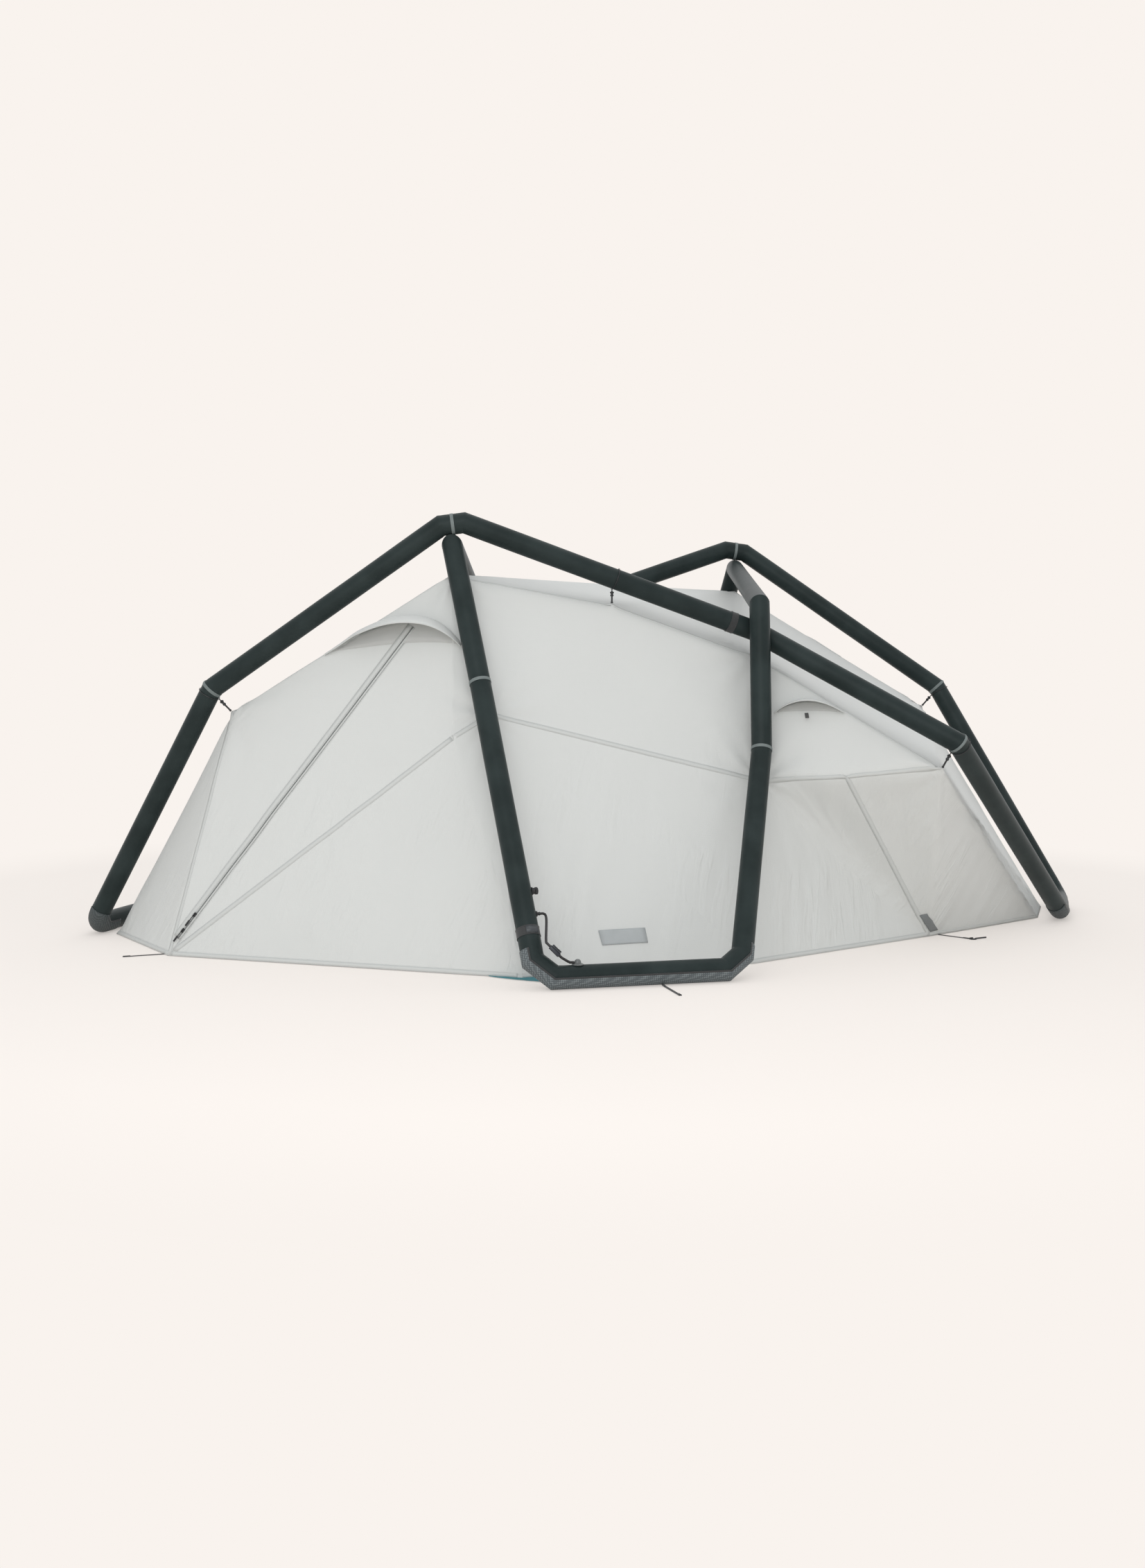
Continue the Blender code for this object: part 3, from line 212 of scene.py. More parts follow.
class Shader:
    """A material or a surround under construction."""

    def __init__(self, name: str, owner: bpy.types.World | None = None) -> None:
        """Starts an empty material, or clears the nodes of the surround that is given."""
        self.material = owner or bpy.data.materials.new(name)
        self.material.use_nodes = True
        self.tree = self.material.node_tree
        self.tree.nodes.clear()

    def node(self, kind: str, settings: dict | None = None, inputs: dict | None = None,
             output: int | str = 0) -> Wire:
        """Adds one node.

        Args:
            kind: Type of the node.
            settings: Its own settings, which are set first.
            inputs: Values or wires by socket name or number.
            output: Which output is returned.

        Returns:
            The chosen output as a wire.
        """
        made = self.tree.nodes.new(kind)
        for key, value in (settings or {}).items():
            setattr(made, key, value)
        for key, value in (inputs or {}).items():
            socket = made.inputs[key]
            if isinstance(value, Wire):
                self.tree.links.new(value.socket, socket)
            else:
                socket.default_value = value
        return Wire(self, made.outputs[output])

    def place(self, scale: Sequence[float] = (1.0, 1.0, 1.0), source: str = "Object",
              turn: Sequence[float] = (0.0, 0.0, 0.0)) -> Wire:
        """Object or UV coordinates through a Mapping node."""
        start = self.node("ShaderNodeTexCoord", output=source)
        inputs = {"Vector": start, "Scale": scale, "Rotation": turn}
        return self.node("ShaderNodeMapping", None, inputs)

    def cloud(self, place: Wire, scale: float, detail: float = 3.0) -> Wire:
        """Noise from zero to one."""
        inputs = {"Vector": place, "Scale": scale, "Detail": detail}
        return self.node("ShaderNodeTexNoise", None, inputs, "Fac")

    def along(self, place: Wire, axis: int) -> Wire:
        """One axis of a place."""
        return self.node("ShaderNodeSeparateXYZ", None, {0: place}, axis)

    def mix(self, factor: "Wire | float", first: "Wire | Sequence[float]",
            second: "Wire | Sequence[float]") -> Wire:
        """Mixes two colours."""
        settings = {"data_type": "RGBA", "blend_type": "MIX"}
        return self.node("ShaderNodeMix", settings, {0: factor, 6: first, 7: second}, 2)

    def bump(self, height: Wire, depth: float, strength: float = 1.0,
             normal: Wire | None = None) -> Wire:
        """Turns a height from zero to one into a normal, with a depth in metres."""
        inputs = {"Height": height, "Distance": depth, "Strength": strength}
        if normal is not None:
            inputs["Normal"] = normal
        return self.node("ShaderNodeBump", None, inputs)

    def surface(self, base: "Wire | Sequence[float]", roughness: "Wire | float",
                normal: Wire | None = None, **constants: float) -> Material:
        """Ends the material with a Principled shader.

        Args:
            base: Colour.
            roughness: Roughness.
            normal: Normal, where the surface has relief.
            constants: Other sockets by name, with underscores for spaces.

        Returns:
            The finished material.
        """
        inputs = {"Base Color": base, "Roughness": roughness}
        inputs |= {key.replace("_", " "): value for key, value in constants.items()}
        if normal is not None:
            inputs["Normal"] = normal
        self.finish(self.node("ShaderNodeBsdfPrincipled", None, inputs))
        return self.material

    def finish(self, shader: Wire, kind: str = "ShaderNodeOutputMaterial") -> None:
        """Links a shader to the output."""
        end = self.tree.nodes.new(kind)
        self.tree.links.new(shader.socket, end.inputs["Surface"])


def colour(red: float, green: float, blue: float) -> tuple[float, float, float, float]:
    """A linear colour with full opacity."""
    return (red, green, blue, 1.0)


@dataclass(frozen=True)
class SleeveCloth:
    """Dense dark cloth sleeve over an air tube."""

    dark: tuple = colour(0.016, 0.024, 0.024)
    light: tuple = colour(0.025, 0.036, 0.036)
    weave_depth: float = 0.00010

    def material(self) -> Material:
        """Builds the sleeve cloth."""
        s = Shader("sleeve cloth")
        at = s.place()
        mottle = s.cloud(at, 9.0, 4.0)
        weave = s.cloud(s.place((900.0, 900.0, 900.0)), 1.0, 1.0)
        soft = s.bump(s.cloud(at, 22.0, 2.0), 0.0012, 0.35)
        normal = s.bump(weave, self.weave_depth, 0.8, soft)
        rough = mottle * 0.10 + 0.32
        return s.surface(s.mix(mottle.ramp(0.3, 0.7), self.dark, self.light), rough, normal,
                         Sheen_Weight=0.02, Sheen_Roughness=0.45, Specular_IOR_Level=0.12)


@dataclass(frozen=True)
class GrainedSkin:
    """Skin with a fine grain: the grey welded tape, or the hose's rubber with its faint bloom."""

    name: str = "ring tape"
    dark: tuple = colour(0.12, 0.145, 0.145)
    light: tuple = colour(0.17, 0.20, 0.20)
    scale: float = 140.0
    detail: float = 3.0
    share: float = 1.0
    relief: tuple = (0.0003, 0.6)
    rough: tuple = (0.42, 0.20)

    def material(self) -> Material:
        """Builds the skin."""
        s = Shader(self.name)
        grain = s.cloud(s.place(), self.scale, self.detail)
        tint = s.mix(grain * self.share, self.dark, self.light)
        return s.surface(tint, grain * self.rough[1] + self.rough[0], s.bump(grain, *self.relief))


@dataclass(frozen=True)
class FlyCloth:
    """Pale coated cloth with a fine ripstop grid, on the cloth's own UV map in metres."""

    name: str = "fly cloth"
    base: tuple = colour(0.625, 0.643, 0.632)
    shade: tuple = colour(0.575, 0.594, 0.585)
    grid: float = 0.006
    crease_depth: float = 0.0045
    lean: float = 0.30

    def material(self) -> Material:
        """Builds the fly cloth."""
        s = Shader(self.name)
        cloth = s.place(source="UV")
        pitch = math.tau / self.grid
        lines = [((s.along(cloth, axis) * pitch).wave()) > 0.93 for axis in (0, 1)]
        grid = lines[0].most(lines[1])
        leant = s.place(source="UV", turn=(0.0, 0.0, self.lean))
        long = s.node("ShaderNodeMapping", None, {"Vector": leant, "Scale": (24.0, 5.0, 1.0)})
        cells = s.node("ShaderNodeTexVoronoi", None, {"Vector": long, "Scale": 1.0}, "Distance")
        ridges = 1.0 - (s.cloud(long, 0.7, 3.0) - 0.5).size().ramp(0.0, 0.10)
        broad = s.cloud(s.place((4.0, 3.0, 1.0), "UV"), 1.0, 2.0)
        low = 1.0 - s.along(s.place(), 2).ramp(0.30, 0.75)
        right = s.along(s.place(), 0).size().ramp(0.0, 0.25) * 0.8 + 0.2
        mask = low * broad.ramp(0.40, 0.60) * right * 0.95 + 0.03
        folds = s.bump((cells * 0.7 + ridges * 0.3) * mask, self.crease_depth, 1.0)
        swells = s.bump(broad, 0.012, 0.20, folds)
        normal = s.bump(grid, 0.00012, 0.5, swells)
        stain = s.cloud(s.place(), 2.3, 4.0)
        tint = s.mix(grid * 0.18 + stain.ramp(0.35, 0.75) * 0.22, self.base, self.shade)
        return s.surface(tint, stain * 0.12 + 0.50, normal, Sheen_Weight=0.12,
                         Specular_IOR_Level=0.35)


@dataclass(frozen=True)
class SeamTape:
    """Doubled cloth along a seam, a little darker, with two rows of stitches along its UV map."""

    name: str = "seam tape"
    base: tuple = colour(0.560, 0.580, 0.570)
    thread: tuple = colour(0.49, 0.51, 0.50)
    stitch: float = 0.0035

    def material(self) -> Material:
        """Builds the seam."""
        s = Shader(self.name)
        cloth = s.place(source="UV")
        across = (s.along(cloth, 0) - 0.5).size()
        row = (across.ramp(0.24, 0.27)) * (1.0 - across.ramp(0.31, 0.34))
        dash = (s.along(cloth, 1) * (math.tau / self.stitch)).wave().ramp(-0.3, 0.2)
        thread = row * dash
        grain = s.cloud(s.place(), 210.0, 2.0)
        pucker = s.bump(s.cloud(s.place((2.0, 90.0, 1.0), "UV"), 1.0, 2.0), 0.0008, 0.4)
        normal = s.bump(thread * 0.7 + grain * 0.3, 0.0002, 0.6, pucker)
        return s.surface(s.mix(thread * 0.8 + grain * 0.15, self.base, self.thread), 0.62, normal)


@dataclass(frozen=True)
class GuardWeave:
    """Coarse grey woven guard with a dotted grip."""

    dark: tuple = colour(0.070, 0.085, 0.092)
    light: tuple = colour(0.180, 0.208, 0.218)
    pitch: float = 0.0060
    name: str = "guard weave"

    def material(self) -> Material:
        """Builds the guard's weave."""
        s = Shader(self.name)
        at = s.place()
        turns = math.tau / self.pitch
        waves = [(s.along(at, axis) * turns).wave() for axis in (0, 1, 2)]
        dots = (waves[0] + waves[1] + waves[2]).ramp(-0.3, 1.5)
        grain = s.cloud(at, 320.0, 2.0)
        tint = s.mix(dots * 0.8 + grain * 0.2, self.dark, self.light)
        return s.surface(tint, 0.72 - dots * 0.15, s.bump(dots, 0.0006, 0.9))


@dataclass(frozen=True)
class Webbing:
    """Black woven webbing with cross ribs."""

    name: str = "webbing"
    dark: tuple = colour(0.016, 0.017, 0.018)
    light: tuple = colour(0.055, 0.058, 0.060)
    rib: float = 0.0017

    def material(self) -> Material:
        """Builds the webbing."""
        s = Shader(self.name)
        cloth = s.place(source="UV")
        ribs = (s.along(cloth, 1) * (math.tau / self.rib)).wave().ramp(-0.8, 0.9)
        rows = (s.along(cloth, 0) * (math.tau * 6.0)).wave().ramp(-0.9, 0.6)
        weave = ribs * rows
        fuzz = s.cloud(s.place(), 260.0, 2.0)
        tint = s.mix(weave * 0.7 + fuzz * 0.3, self.dark, self.light)
        return s.surface(tint, 0.78, s.bump(weave, 0.0005, 0.9), Sheen_Weight=0.2)


@dataclass(frozen=True)
class Moulding:
    """Moulded plastic with a fine spark texture and rubbed high places."""

    name: str = "black moulding"
    base: tuple = colour(0.014, 0.015, 0.017)
    worn: tuple = colour(0.040, 0.043, 0.046)
    rough: float = 0.34

    def material(self) -> Material:
        """Builds the plastic."""
        s = Shader(self.name)
        at = s.place()
        spark = s.cloud(at, 1500.0, 1.0)
        wear = s.cloud(at, 55.0, 5.0).ramp(0.52, 0.78)
        normal = s.bump(spark, 0.00006, 0.5)
        return s.surface(s.mix(wear * 0.7, self.base, self.worn), wear * 0.2 + self.rough, normal)


@dataclass(frozen=True)
class CoarseCloth:
    """Plain woven cloth for the cabin, tub and patches, on Object coordinates."""

    name: str
    base: tuple
    shade: tuple
    pitch: float = 0.0016
    rough: float = 0.8

    def material(self) -> Material:
        """Builds the cloth."""
        s = Shader(self.name)
        at = s.place()
        turns = math.tau / self.pitch
        weave = ((s.along(at, 0) + s.along(at, 2)) * turns).wave() * (s.along(at, 1) * turns).wave()
        patchy = s.cloud(at, 14.0, 4.0)
        tint = s.mix(weave * 0.15 + patchy.ramp(0.3, 0.8) * 0.45, self.base, self.shade)
        soft = s.bump(s.cloud(at, 9.0, 2.0), 0.006, 0.3)
        return s.surface(tint, self.rough, s.bump(weave, 0.0002, 0.4, soft))


@dataclass(frozen=True)
class VentNetAndShade:
    """Fine pale net behind a vent, a little darker than the fly: a real net that is also painted shade under
    the brim.
    """

    # Both colours sit below the fly's, so the net also stands for the shade under the brim (painted shade).
    hole_and_shade: tuple = colour(0.46, 0.475, 0.465)
    thread: tuple = colour(0.60, 0.61, 0.60)
    pitch: float = 0.0022

    def material(self) -> Material:
        """Builds the net, whose darker colour is partly painted shade."""
        s = Shader("vent net and painted shade")
        cloth = s.place(source="UV")
        turns = math.tau / self.pitch
        lines = [(s.along(cloth, axis) * turns).wave().ramp(0.3, 0.8) for axis in (0, 1)]
        net = lines[0].most(lines[1])
        return s.surface(s.mix(net, self.hole_and_shade, self.thread), 0.85, s.bump(net, 0.0003, 0.7))


def fixed(x: float, y: float, z: float) -> Any:
    """A field that holds a vector."""
    return field(default_factory=lambda: Vector((x, y, z)))


def once(recipe: Any) -> Any:
    """A field whose material is made from its recipe together with the other finishes."""
    return field(default_factory=recipe.material)


@dataclass
class Finishes:
    """Every finish of the tent, made once."""

    sleeve: Material = once(SleeveCloth())
    tape: Material = once(GrainedSkin())
    fly: Material = once(FlyCloth())
    seam: Material = once(SeamTape())
    guard: Material = once(GuardWeave())
    foot_guard: Material = once(GuardWeave(
        colour(0.035, 0.045, 0.047), colour(0.095, 0.112, 0.115), 0.0050, "foot guard weave"))
    webbing: Material = once(Webbing())
    plastic: Material = once(Moulding())
    rubber: Material = once(GrainedSkin(
        "hose rubber", colour(0.010, 0.010, 0.011), colour(0.030, 0.030, 0.032), 90.0, 4.0, 0.5,
        (0.0001, 0.4), (0.22, 0.25)))
    # The vent net is darker than the fly: a real net and partly painted shade under the hoods.
    net: Material = once(VentNetAndShade())
    navy: Material = once(Moulding(
        "clamp moulding", colour(0.014, 0.018, 0.026), colour(0.035, 0.042, 0.055), 0.30))
    smoke: Material = once(Moulding(
        "smoke moulding", colour(0.12, 0.13, 0.13), colour(0.22, 0.235, 0.235), 0.18))
    pad: Material = once(Moulding(
        "pad moulding", colour(0.040, 0.046, 0.052), colour(0.085, 0.096, 0.105), 0.30))
    patch: Material = once(CoarseCloth(
        "patch cloth", colour(0.42, 0.45, 0.46), colour(0.34, 0.365, 0.37), 0.0012, 0.6))
    loop: Material = once(CoarseCloth(
        "loop cloth", colour(0.19, 0.205, 0.21), colour(0.13, 0.145, 0.15), 0.0012, 0.6))
    cabin: Material = once(CoarseCloth(
        "cabin cloth", colour(0.50, 0.51, 0.50), colour(0.40, 0.41, 0.40)))
    tub: Material = once(CoarseCloth(
        "floor cloth", colour(0.035, 0.21, 0.25), colour(0.022, 0.14, 0.17), 0.0020, 0.6))


def add_object(name: str, data: bpy.types.ID) -> Object:
    """Links a new object to the scene."""
    made = bpy.data.objects.new(name, data)
    bpy.context.scene.collection.objects.link(made)
    return made


def mesh_from(name: str, shape: BMesh) -> bpy.types.Mesh:
    """Writes a bmesh to a new mesh and frees it."""
    mesh = bpy.data.meshes.new(name)
    shape.to_mesh(mesh)
    shape.free()
    return mesh


def add_piece(name: str, shape: BMesh, finish: Material, body: str = "tent",
              side: Side = Side.FRONT, replaced: str = "", smooth_angle: float = 40.0) -> Object:
    """Turns a bmesh into a piece of the tent.

    Args:
        name: Name of the piece.
        shape: Its shape as it is at the front; it is freed.
        finish: Its material.
        body: The body that it rides on.
        side: The half of the tent that it is turned to.
        replaced: The node that it stands for, if there is one.
        smooth_angle: Edges sharper than this, in degrees, stay sharp.

    Returns:
        The object.
    """
    bmesh.ops.transform(shape, matrix=side.turn, verts=shape.verts)
    shape.normal_update()
    mesh = mesh_from(name, shape)
    mesh.shade_smooth()
    mesh.set_sharp_from_angle(angle=math.radians(smooth_angle))
    mesh.materials.append(finish)
    made = add_object(name, mesh)
    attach(made, body)
    if replaced:
        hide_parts(replaced)
    return made


def thicken(made: Object, thickness: float, offset: float = 0.0) -> Object:
    """Gives a sheet its thickness with a Solidify modifier."""
    wall = made.modifiers.new("thickness", "SOLIDIFY")
    wall.thickness = thickness
    wall.offset = offset
    return made


def turn_out(shape: BMesh) -> None:
    """Turns the faces outwards."""
    bmesh.ops.recalc_face_normals(shape, faces=shape.faces)


def outward(shape: BMesh) -> None:
    """Merges doubles and turns the faces outwards."""
    bmesh.ops.remove_doubles(shape, verts=shape.verts, dist=MERGE)
    turn_out(shape)


def orient(shape: BMesh, outside: Callable[[Vector], Vector], height: int = 0) -> None:
    """Turns all the faces of a sheet to its outside.

    Args:
        shape: The sheet.
        outside: Gives the direction that is outside at a place.
        height: 1 where the highest face is asked, -1 for the lowest and 0 for the first.
    """
    turn_out(shape)
    face = next(iter(shape.faces))
    if height:
        face = max(shape.faces, key=lambda f: f.calc_center_median().z * height)
    if face.normal.dot(outside(face.calc_center_median())) < 0:
        bmesh.ops.reverse_faces(shape, faces=shape.faces)


def map_cloth(shape: BMesh, spot: Callable[[BMVert], tuple[float, float]]) -> None:
    """Adds the UV map that the cloth's finishes read, in metres."""
    uv = shape.loops.layers.uv.new("cloth")
    for face in shape.faces:
        for loop in face.loops:
            loop[uv].uv = spot(loop.vert)


def ease(shape: BMesh, verts: Sequence[BMVert], rounds: int) -> None:
    """Smooths the given vertices several times."""
    for _ in range(rounds):
        bmesh.ops.smooth_vert(shape, verts=verts, factor=0.5, use_axis_x=True, use_axis_y=True,
                              use_axis_z=True)


def shift(moves: Iterable[tuple[BMVert, Vector]]) -> None:
    """Moves each vertex by its own vector."""
    for v, move in moves:
        v.co += move


def first_row(shape: BMesh, spots: Sequence[Vector]) -> list[BMVert]:
    """Adds a row of vertices with edges between them."""
    row = [shape.verts.new(spot) for spot in spots]
    for a, b in zip(row, row[1:]):
        shape.edges.new((a, b))
    return row


def next_row(shape: BMesh, row: Sequence[BMVert], spots: Sequence[Vector]) -> list[BMVert]:
    """Extrudes a row and sets the new one at the given places."""
    bmesh.ops.extrude_edge_only(shape, edges=edges_of(row))
    shape.verts.ensure_lookup_table()
    fresh = list(shape.verts)[-len(row):]
    made = [min(fresh, key=lambda f, v=v: (f.co - v.co).length) for v in row]
    for v, spot in zip(made, spots):
        v.co = spot
    return made


def towards(way: Vector, aim: Vector) -> Vector:
    """The way or its opposite, whichever leads to the aim."""
    return -way if way.dot(aim) < 0 else way


def basis(x: Vector, y: Vector, z: Vector, place: Vector) -> Matrix:
    """A matrix with the given axes and place."""
    turn = Matrix((x, y, z)).transposed().to_4x4()
    turn.translation = place
    return turn


@dataclass
class Path:
    """A path of straight runs that outlines are swept along, mitred at its bends."""

    points: list[Vector]
    flat_run: int = 0
    end_planes: tuple[Vector | None, Vector | None] = (None, None)

    def runs(self) -> tuple[list[Vector], list[Vector]]:
        """Direction and side vector of each straight run, turned as little as the bends allow."""
        ways = [(b - a).normalized() for a, b in zip(self.points, self.points[1:])]
        across = ways[self.flat_run].cross(UP)
        if across.length < SEAT:
            across = Vector((1.0, 0.0, 0.0))
        sides = [across.normalized()] * len(ways)
        for i in range(self.flat_run + 1, len(ways)):
            sides[i] = ways[i - 1].rotation_difference(ways[i]) @ sides[i - 1]
        for i in range(self.flat_run - 1, -1, -1):
            sides[i] = ways[i + 1].rotation_difference(ways[i]) @ sides[i + 1]
        return ways, sides

    def frames(self, near: Sequence[float] = (), step: float = 10.0) -> list[Matrix]:
        """Matrices that set a flat outline across the path.

        Args:
            near: Distances from each bend at which there is one more outline.
            step: Greatest distance between outlines elsewhere.

        Returns:
            One matrix for each outline, from the start to the end.
        """
        ways, sides = self.runs()
        made = []
        for run, (way, side) in enumerate(zip(ways, sides)):
            ends = []
            for i in (run, run + 1):
                if i == 0:
                    plane = self.end_planes[0] or way
                elif i == len(self.points) - 1:
                    plane = self.end_planes[1] or way
                else:
                    plane = ways[i - 1] + ways[i]
                flats = (side, side.cross(way))
                columns = [flat - way * (flat.dot(plane) / way.dot(plane)) for flat in flats]
                ends.append(basis(*columns, way, self.points[i]))
            length = (self.points[run + 1] - self.points[run]).length
            stops = {0.0} | {d for d in near if d < length * 0.45}
            stops |= {length - d for d in near if d < length * 0.45}
            spans = max(1, math.ceil(length / step))
            stops |= {length * k / spans for k in range(1, spans)}
            kept = []
            for stop in sorted(stops):
                if not kept or stop - kept[-1] > 0.0015:
                    kept.append(stop)
            made += [ends[0] * (1 - d / length) + ends[1] * (d / length) for d in kept]
        made.append(ends[1])
        return made


def edges_of(verts: Iterable[BMVert]) -> list[BMEdge]:
    """The edges that join the given vertices."""
    chosen = set(verts)
    return list({edge for v in chosen for edge in v.link_edges if edge.other_vert(v) in chosen})


def ring(shape: BMesh, radius: float, sides: int, at: Matrix) -> list[BMVert]:
    """Adds a round outline with a flat facet underneath."""
    turn = at @ Matrix.Rotation(math.pi / sides, 4, "Z")
    return bmesh.ops.create_circle(shape, segments=sides, radius=radius, matrix=turn)["verts"]


def arc(shape: BMesh, radius: float, first: float, last: float, steps: int,
        at: Matrix) -> list[BMVert]:
    """Adds an open arc spun from one vertex."""
    start = shape.verts.new((radius * math.cos(first), radius * math.sin(first), 0.0))
    before = set(shape.verts)
    bmesh.ops.spin(shape, geom=[start], cent=(0, 0, 0), axis=(0, 0, 1), angle=last - first,
                   steps=steps, use_duplicate=False)
    made = [start] + [v for v in shape.verts if v not in before]
    bmesh.ops.transform(shape, matrix=at, verts=made)
    return made


def strip(shape: BMesh, width: float, height: float, at: Matrix) -> list[BMVert]:
    """Adds a flat outline with eased edges, for straps."""
    ease = height * 0.4
    half = width / 2
    corners = [(-half, 0.0), (-half + ease, -height / 2), (half - ease, -height / 2), (half, 0.0),
               (half - ease, height / 2), (-half + ease, height / 2)]
    made = [shape.verts.new((x, y, 0.0)) for x, y in corners]
    for a, b in zip(made, made[1:] + made[:1]):
        shape.edges.new((a, b))
    bmesh.ops.transform(shape, matrix=at, verts=made)
    return made


def sweep(shape: BMesh, outline: list[BMVert], frames: Sequence[Matrix],
          relief: Callable[[Vector, int], float] | None = None, capped: bool = True) -> None:
    """Extrudes an outline along a row of frames.

    Args:
        shape: The bmesh that holds the outline.
        outline: The first outline, already at the first frame.
        frames: One matrix for each outline.
        relief: Extra distance from the centreline for a place and the number of its frame.
        capped: Whether the ends are closed.
    """
    edges = edges_of(outline)
    start = list(edges)
    moves = []
    for n, (before, after) in enumerate(zip(frames, frames[1:])):
        grown = bmesh.ops.extrude_edge_only(shape, edges=edges)["geom"]
        verts = [g for g in grown if isinstance(g, BMVert)]
        edges = edges_of(verts)
        bmesh.ops.transform(shape, matrix=after @ before.inverted(), verts=verts)
        if relief:
            centre = after.translation
            moves += [(v, (v.co - centre).normalized() * relief(v.co, n + 1)) for v in verts]
    shift(moves)
    if capped:
        bmesh.ops.edgeloop_fill(shape, edges=start)
        bmesh.ops.edgeloop_fill(shape, edges=edges)


def sleeve(shape: BMesh, path: Path, radius: float, thickness: float,
           near: Sequence[float] = ()) -> None:
    """Adds a closed band round a tube, with both walls and its rims."""
    frames = path.frames(near)
    loops = []
    for r in (radius, radius + thickness):
        first = ring(shape, r, TUBE_SIDES, frames[0])
        before = set(shape.verts) - set(first)
        sweep(shape, first, frames, None, False)
        made = [v for v in shape.verts if v not in before]
        loops.append((edges_of(first), edges_of(made[-TUBE_SIDES:])))
    for k in (0, 1):
        bmesh.ops.bridge_loops(shape, edges=loops[0][k] + loops[1][k])
    outward(shape)


def rod(shape: BMesh, points: Sequence[Vector], radius: float, sides: int) -> None:
    """Adds a round rod with closed ends along a row of places."""
    frames = Path(points).frames()
    sweep(shape, ring(shape, radius, sides, frames[0]), frames)


def cut_corner(before: Vector, corner: Vector, after: Vector, length: float) -> tuple[Vector, Vector]:
    """Two places that cut a corner with a straight run of the given length."""
    back = (before - corner).normalized()
    on = (after - corner).normalized()
    reach = length / (back - on).length
    return corner + back * reach, corner + on * reach


def round_corner(before: Vector, corner: Vector, after: Vector, reach: float, steps: int) -> list[Vector]:
    """Places along a round corner that starts and ends at the given reach from the corner."""
    back = (before - corner).normalized()
    on = (after - corner).normalized()
    half = back.angle(on) / 2
    centre = corner + (back + on).normalized() * (reach / math.cos(half))
    start = corner + back * reach - centre
    end = corner + on * reach - centre
    axis = start.cross(end).normalized()
    turn = start.angle(end) / steps
    return [centre + Matrix.Rotation(turn * k, 3, axis) @ start for k in range(steps + 1)]


def smooth_route(knots: Sequence[Vector], steps: int) -> list[Vector]:
    """Places along a smooth curve through a few knots, straight at its start and at its end."""
    spans = len(knots) - 3
    route = [knots[0]]
    for n in range(steps + 1):
        place = n / steps * spans
        i = min(int(place), spans - 1)
        t = place - i
        a, b, c, d = knots[i:i + 4]
        route.append(0.5 * ((2 * b) + (c - a) * t + (2 * a - 5 * b + 4 * c - d) * t * t
                            + (3 * b - a - 3 * c + d) * t ** 3))
    route.append(knots[-1])
    return route


def placed(place: Vector, along: Vector, out: Vector) -> Matrix:
    """A matrix with X along one direction and Z as near the other as that allows."""
    x = along.normalized()
    z = (out - x * out.dot(x)).normalized()
    return basis(x, z.cross(x), z, place)


def block(shape: BMesh, size: Sequence[float], at: Matrix, ease: float, steps: int = 3,
          pinch: float = 0.0) -> None:
    """Adds a moulded block with eased edges; a pinch draws its top in."""
    made = bmesh.ops.create_cube(shape, size=1.0)["verts"]
    bmesh.ops.scale(shape, vec=size, verts=made)
    if pinch:
        for v in made:
            if v.co.z > 0:
                v.co.x *= 1 - pinch
                v.co.y *= 1 - pinch
    edges = edges_of(made)
    grown = bmesh.ops.bevel(shape, geom=edges, offset=ease, offset_type="OFFSET", segments=steps,
                            profile=0.5, affect="EDGES", material=-1)
    bmesh.ops.transform(shape, matrix=at, verts=grown["verts"])


def turned(shape: BMesh, profile: Sequence[tuple[float, float]], at: Matrix,
           steps: int = 48, rib: float = 0.0, rib_rows: Sequence[int] = ()) -> None:
    """Adds a round piece spun from a profile of radius and height, with ribs on the chosen rows."""
    before = set(shape.verts)
    points = [shape.verts.new((radius, 0.0, height)) for radius, height in profile]
    lines = [shape.edges.new(pair) for pair in zip(points, points[1:])]
    bmesh.ops.spin(shape, geom=points + lines, cent=(0, 0, 0), axis=(0, 0, 1), angle=math.tau,
                   steps=steps, use_merge=True, use_duplicate=False)
    made = [v for v in shape.verts if v not in before]
    heights = [profile[k][1] for k in rib_rows]
    for v in made:
        reach = math.hypot(v.co.x, v.co.y)
        if rib and reach > SEAT and any(abs(v.co.z - h) < 1e-6 for h in heights):
            turn = round(math.atan2(v.co.y, v.co.x) / math.tau * steps)
            if turn % 2:
                v.co.x *= 1 - rib / reach
                v.co.y *= 1 - rib / reach
    bmesh.ops.remove_doubles(shape, verts=made, dist=MERGE)
    bmesh.ops.transform(shape, matrix=at, verts=[v for v in shape.verts if v not in before])


@dataclass
class PhotoCamera:
    """The camera that took the photograph."""

    place: Vector = fixed(-0.828867, -5.866593, 0.913706)
    right: Vector = fixed(0.9928631, -0.1191765, 0.0044537)
    up: Vector = fixed(0.0043055, 0.0731387, 0.9973125)
    width: int = 1652
    height: int = 2262
    pixels: float = 2441.48
    sensor: float = 36.0

    def build(self) -> None:
        """Makes the camera and gives it to the scene."""
        data = bpy.data.cameras.new("photo camera")
        data.sensor_fit = "HORIZONTAL"
        data.sensor_width = self.sensor
        data.lens = self.sensor * self.pixels / self.width
        made = add_object("photo camera", data)
        back = self.right.cross(self.up).normalized()
        made.matrix_world = basis(self.right, back.cross(self.right), back, self.place)
        bpy.context.scene.camera = made

    def ray(self, across: float, down: float) -> Vector:
        """Direction from the camera through a place of the photograph, in its pixels."""
        way = self.up.cross(self.right)
        way += self.right * ((across - self.width / 2) / self.pixels)
        way -= self.up * ((down - self.height / 2) / self.pixels)
        return way.normalized()


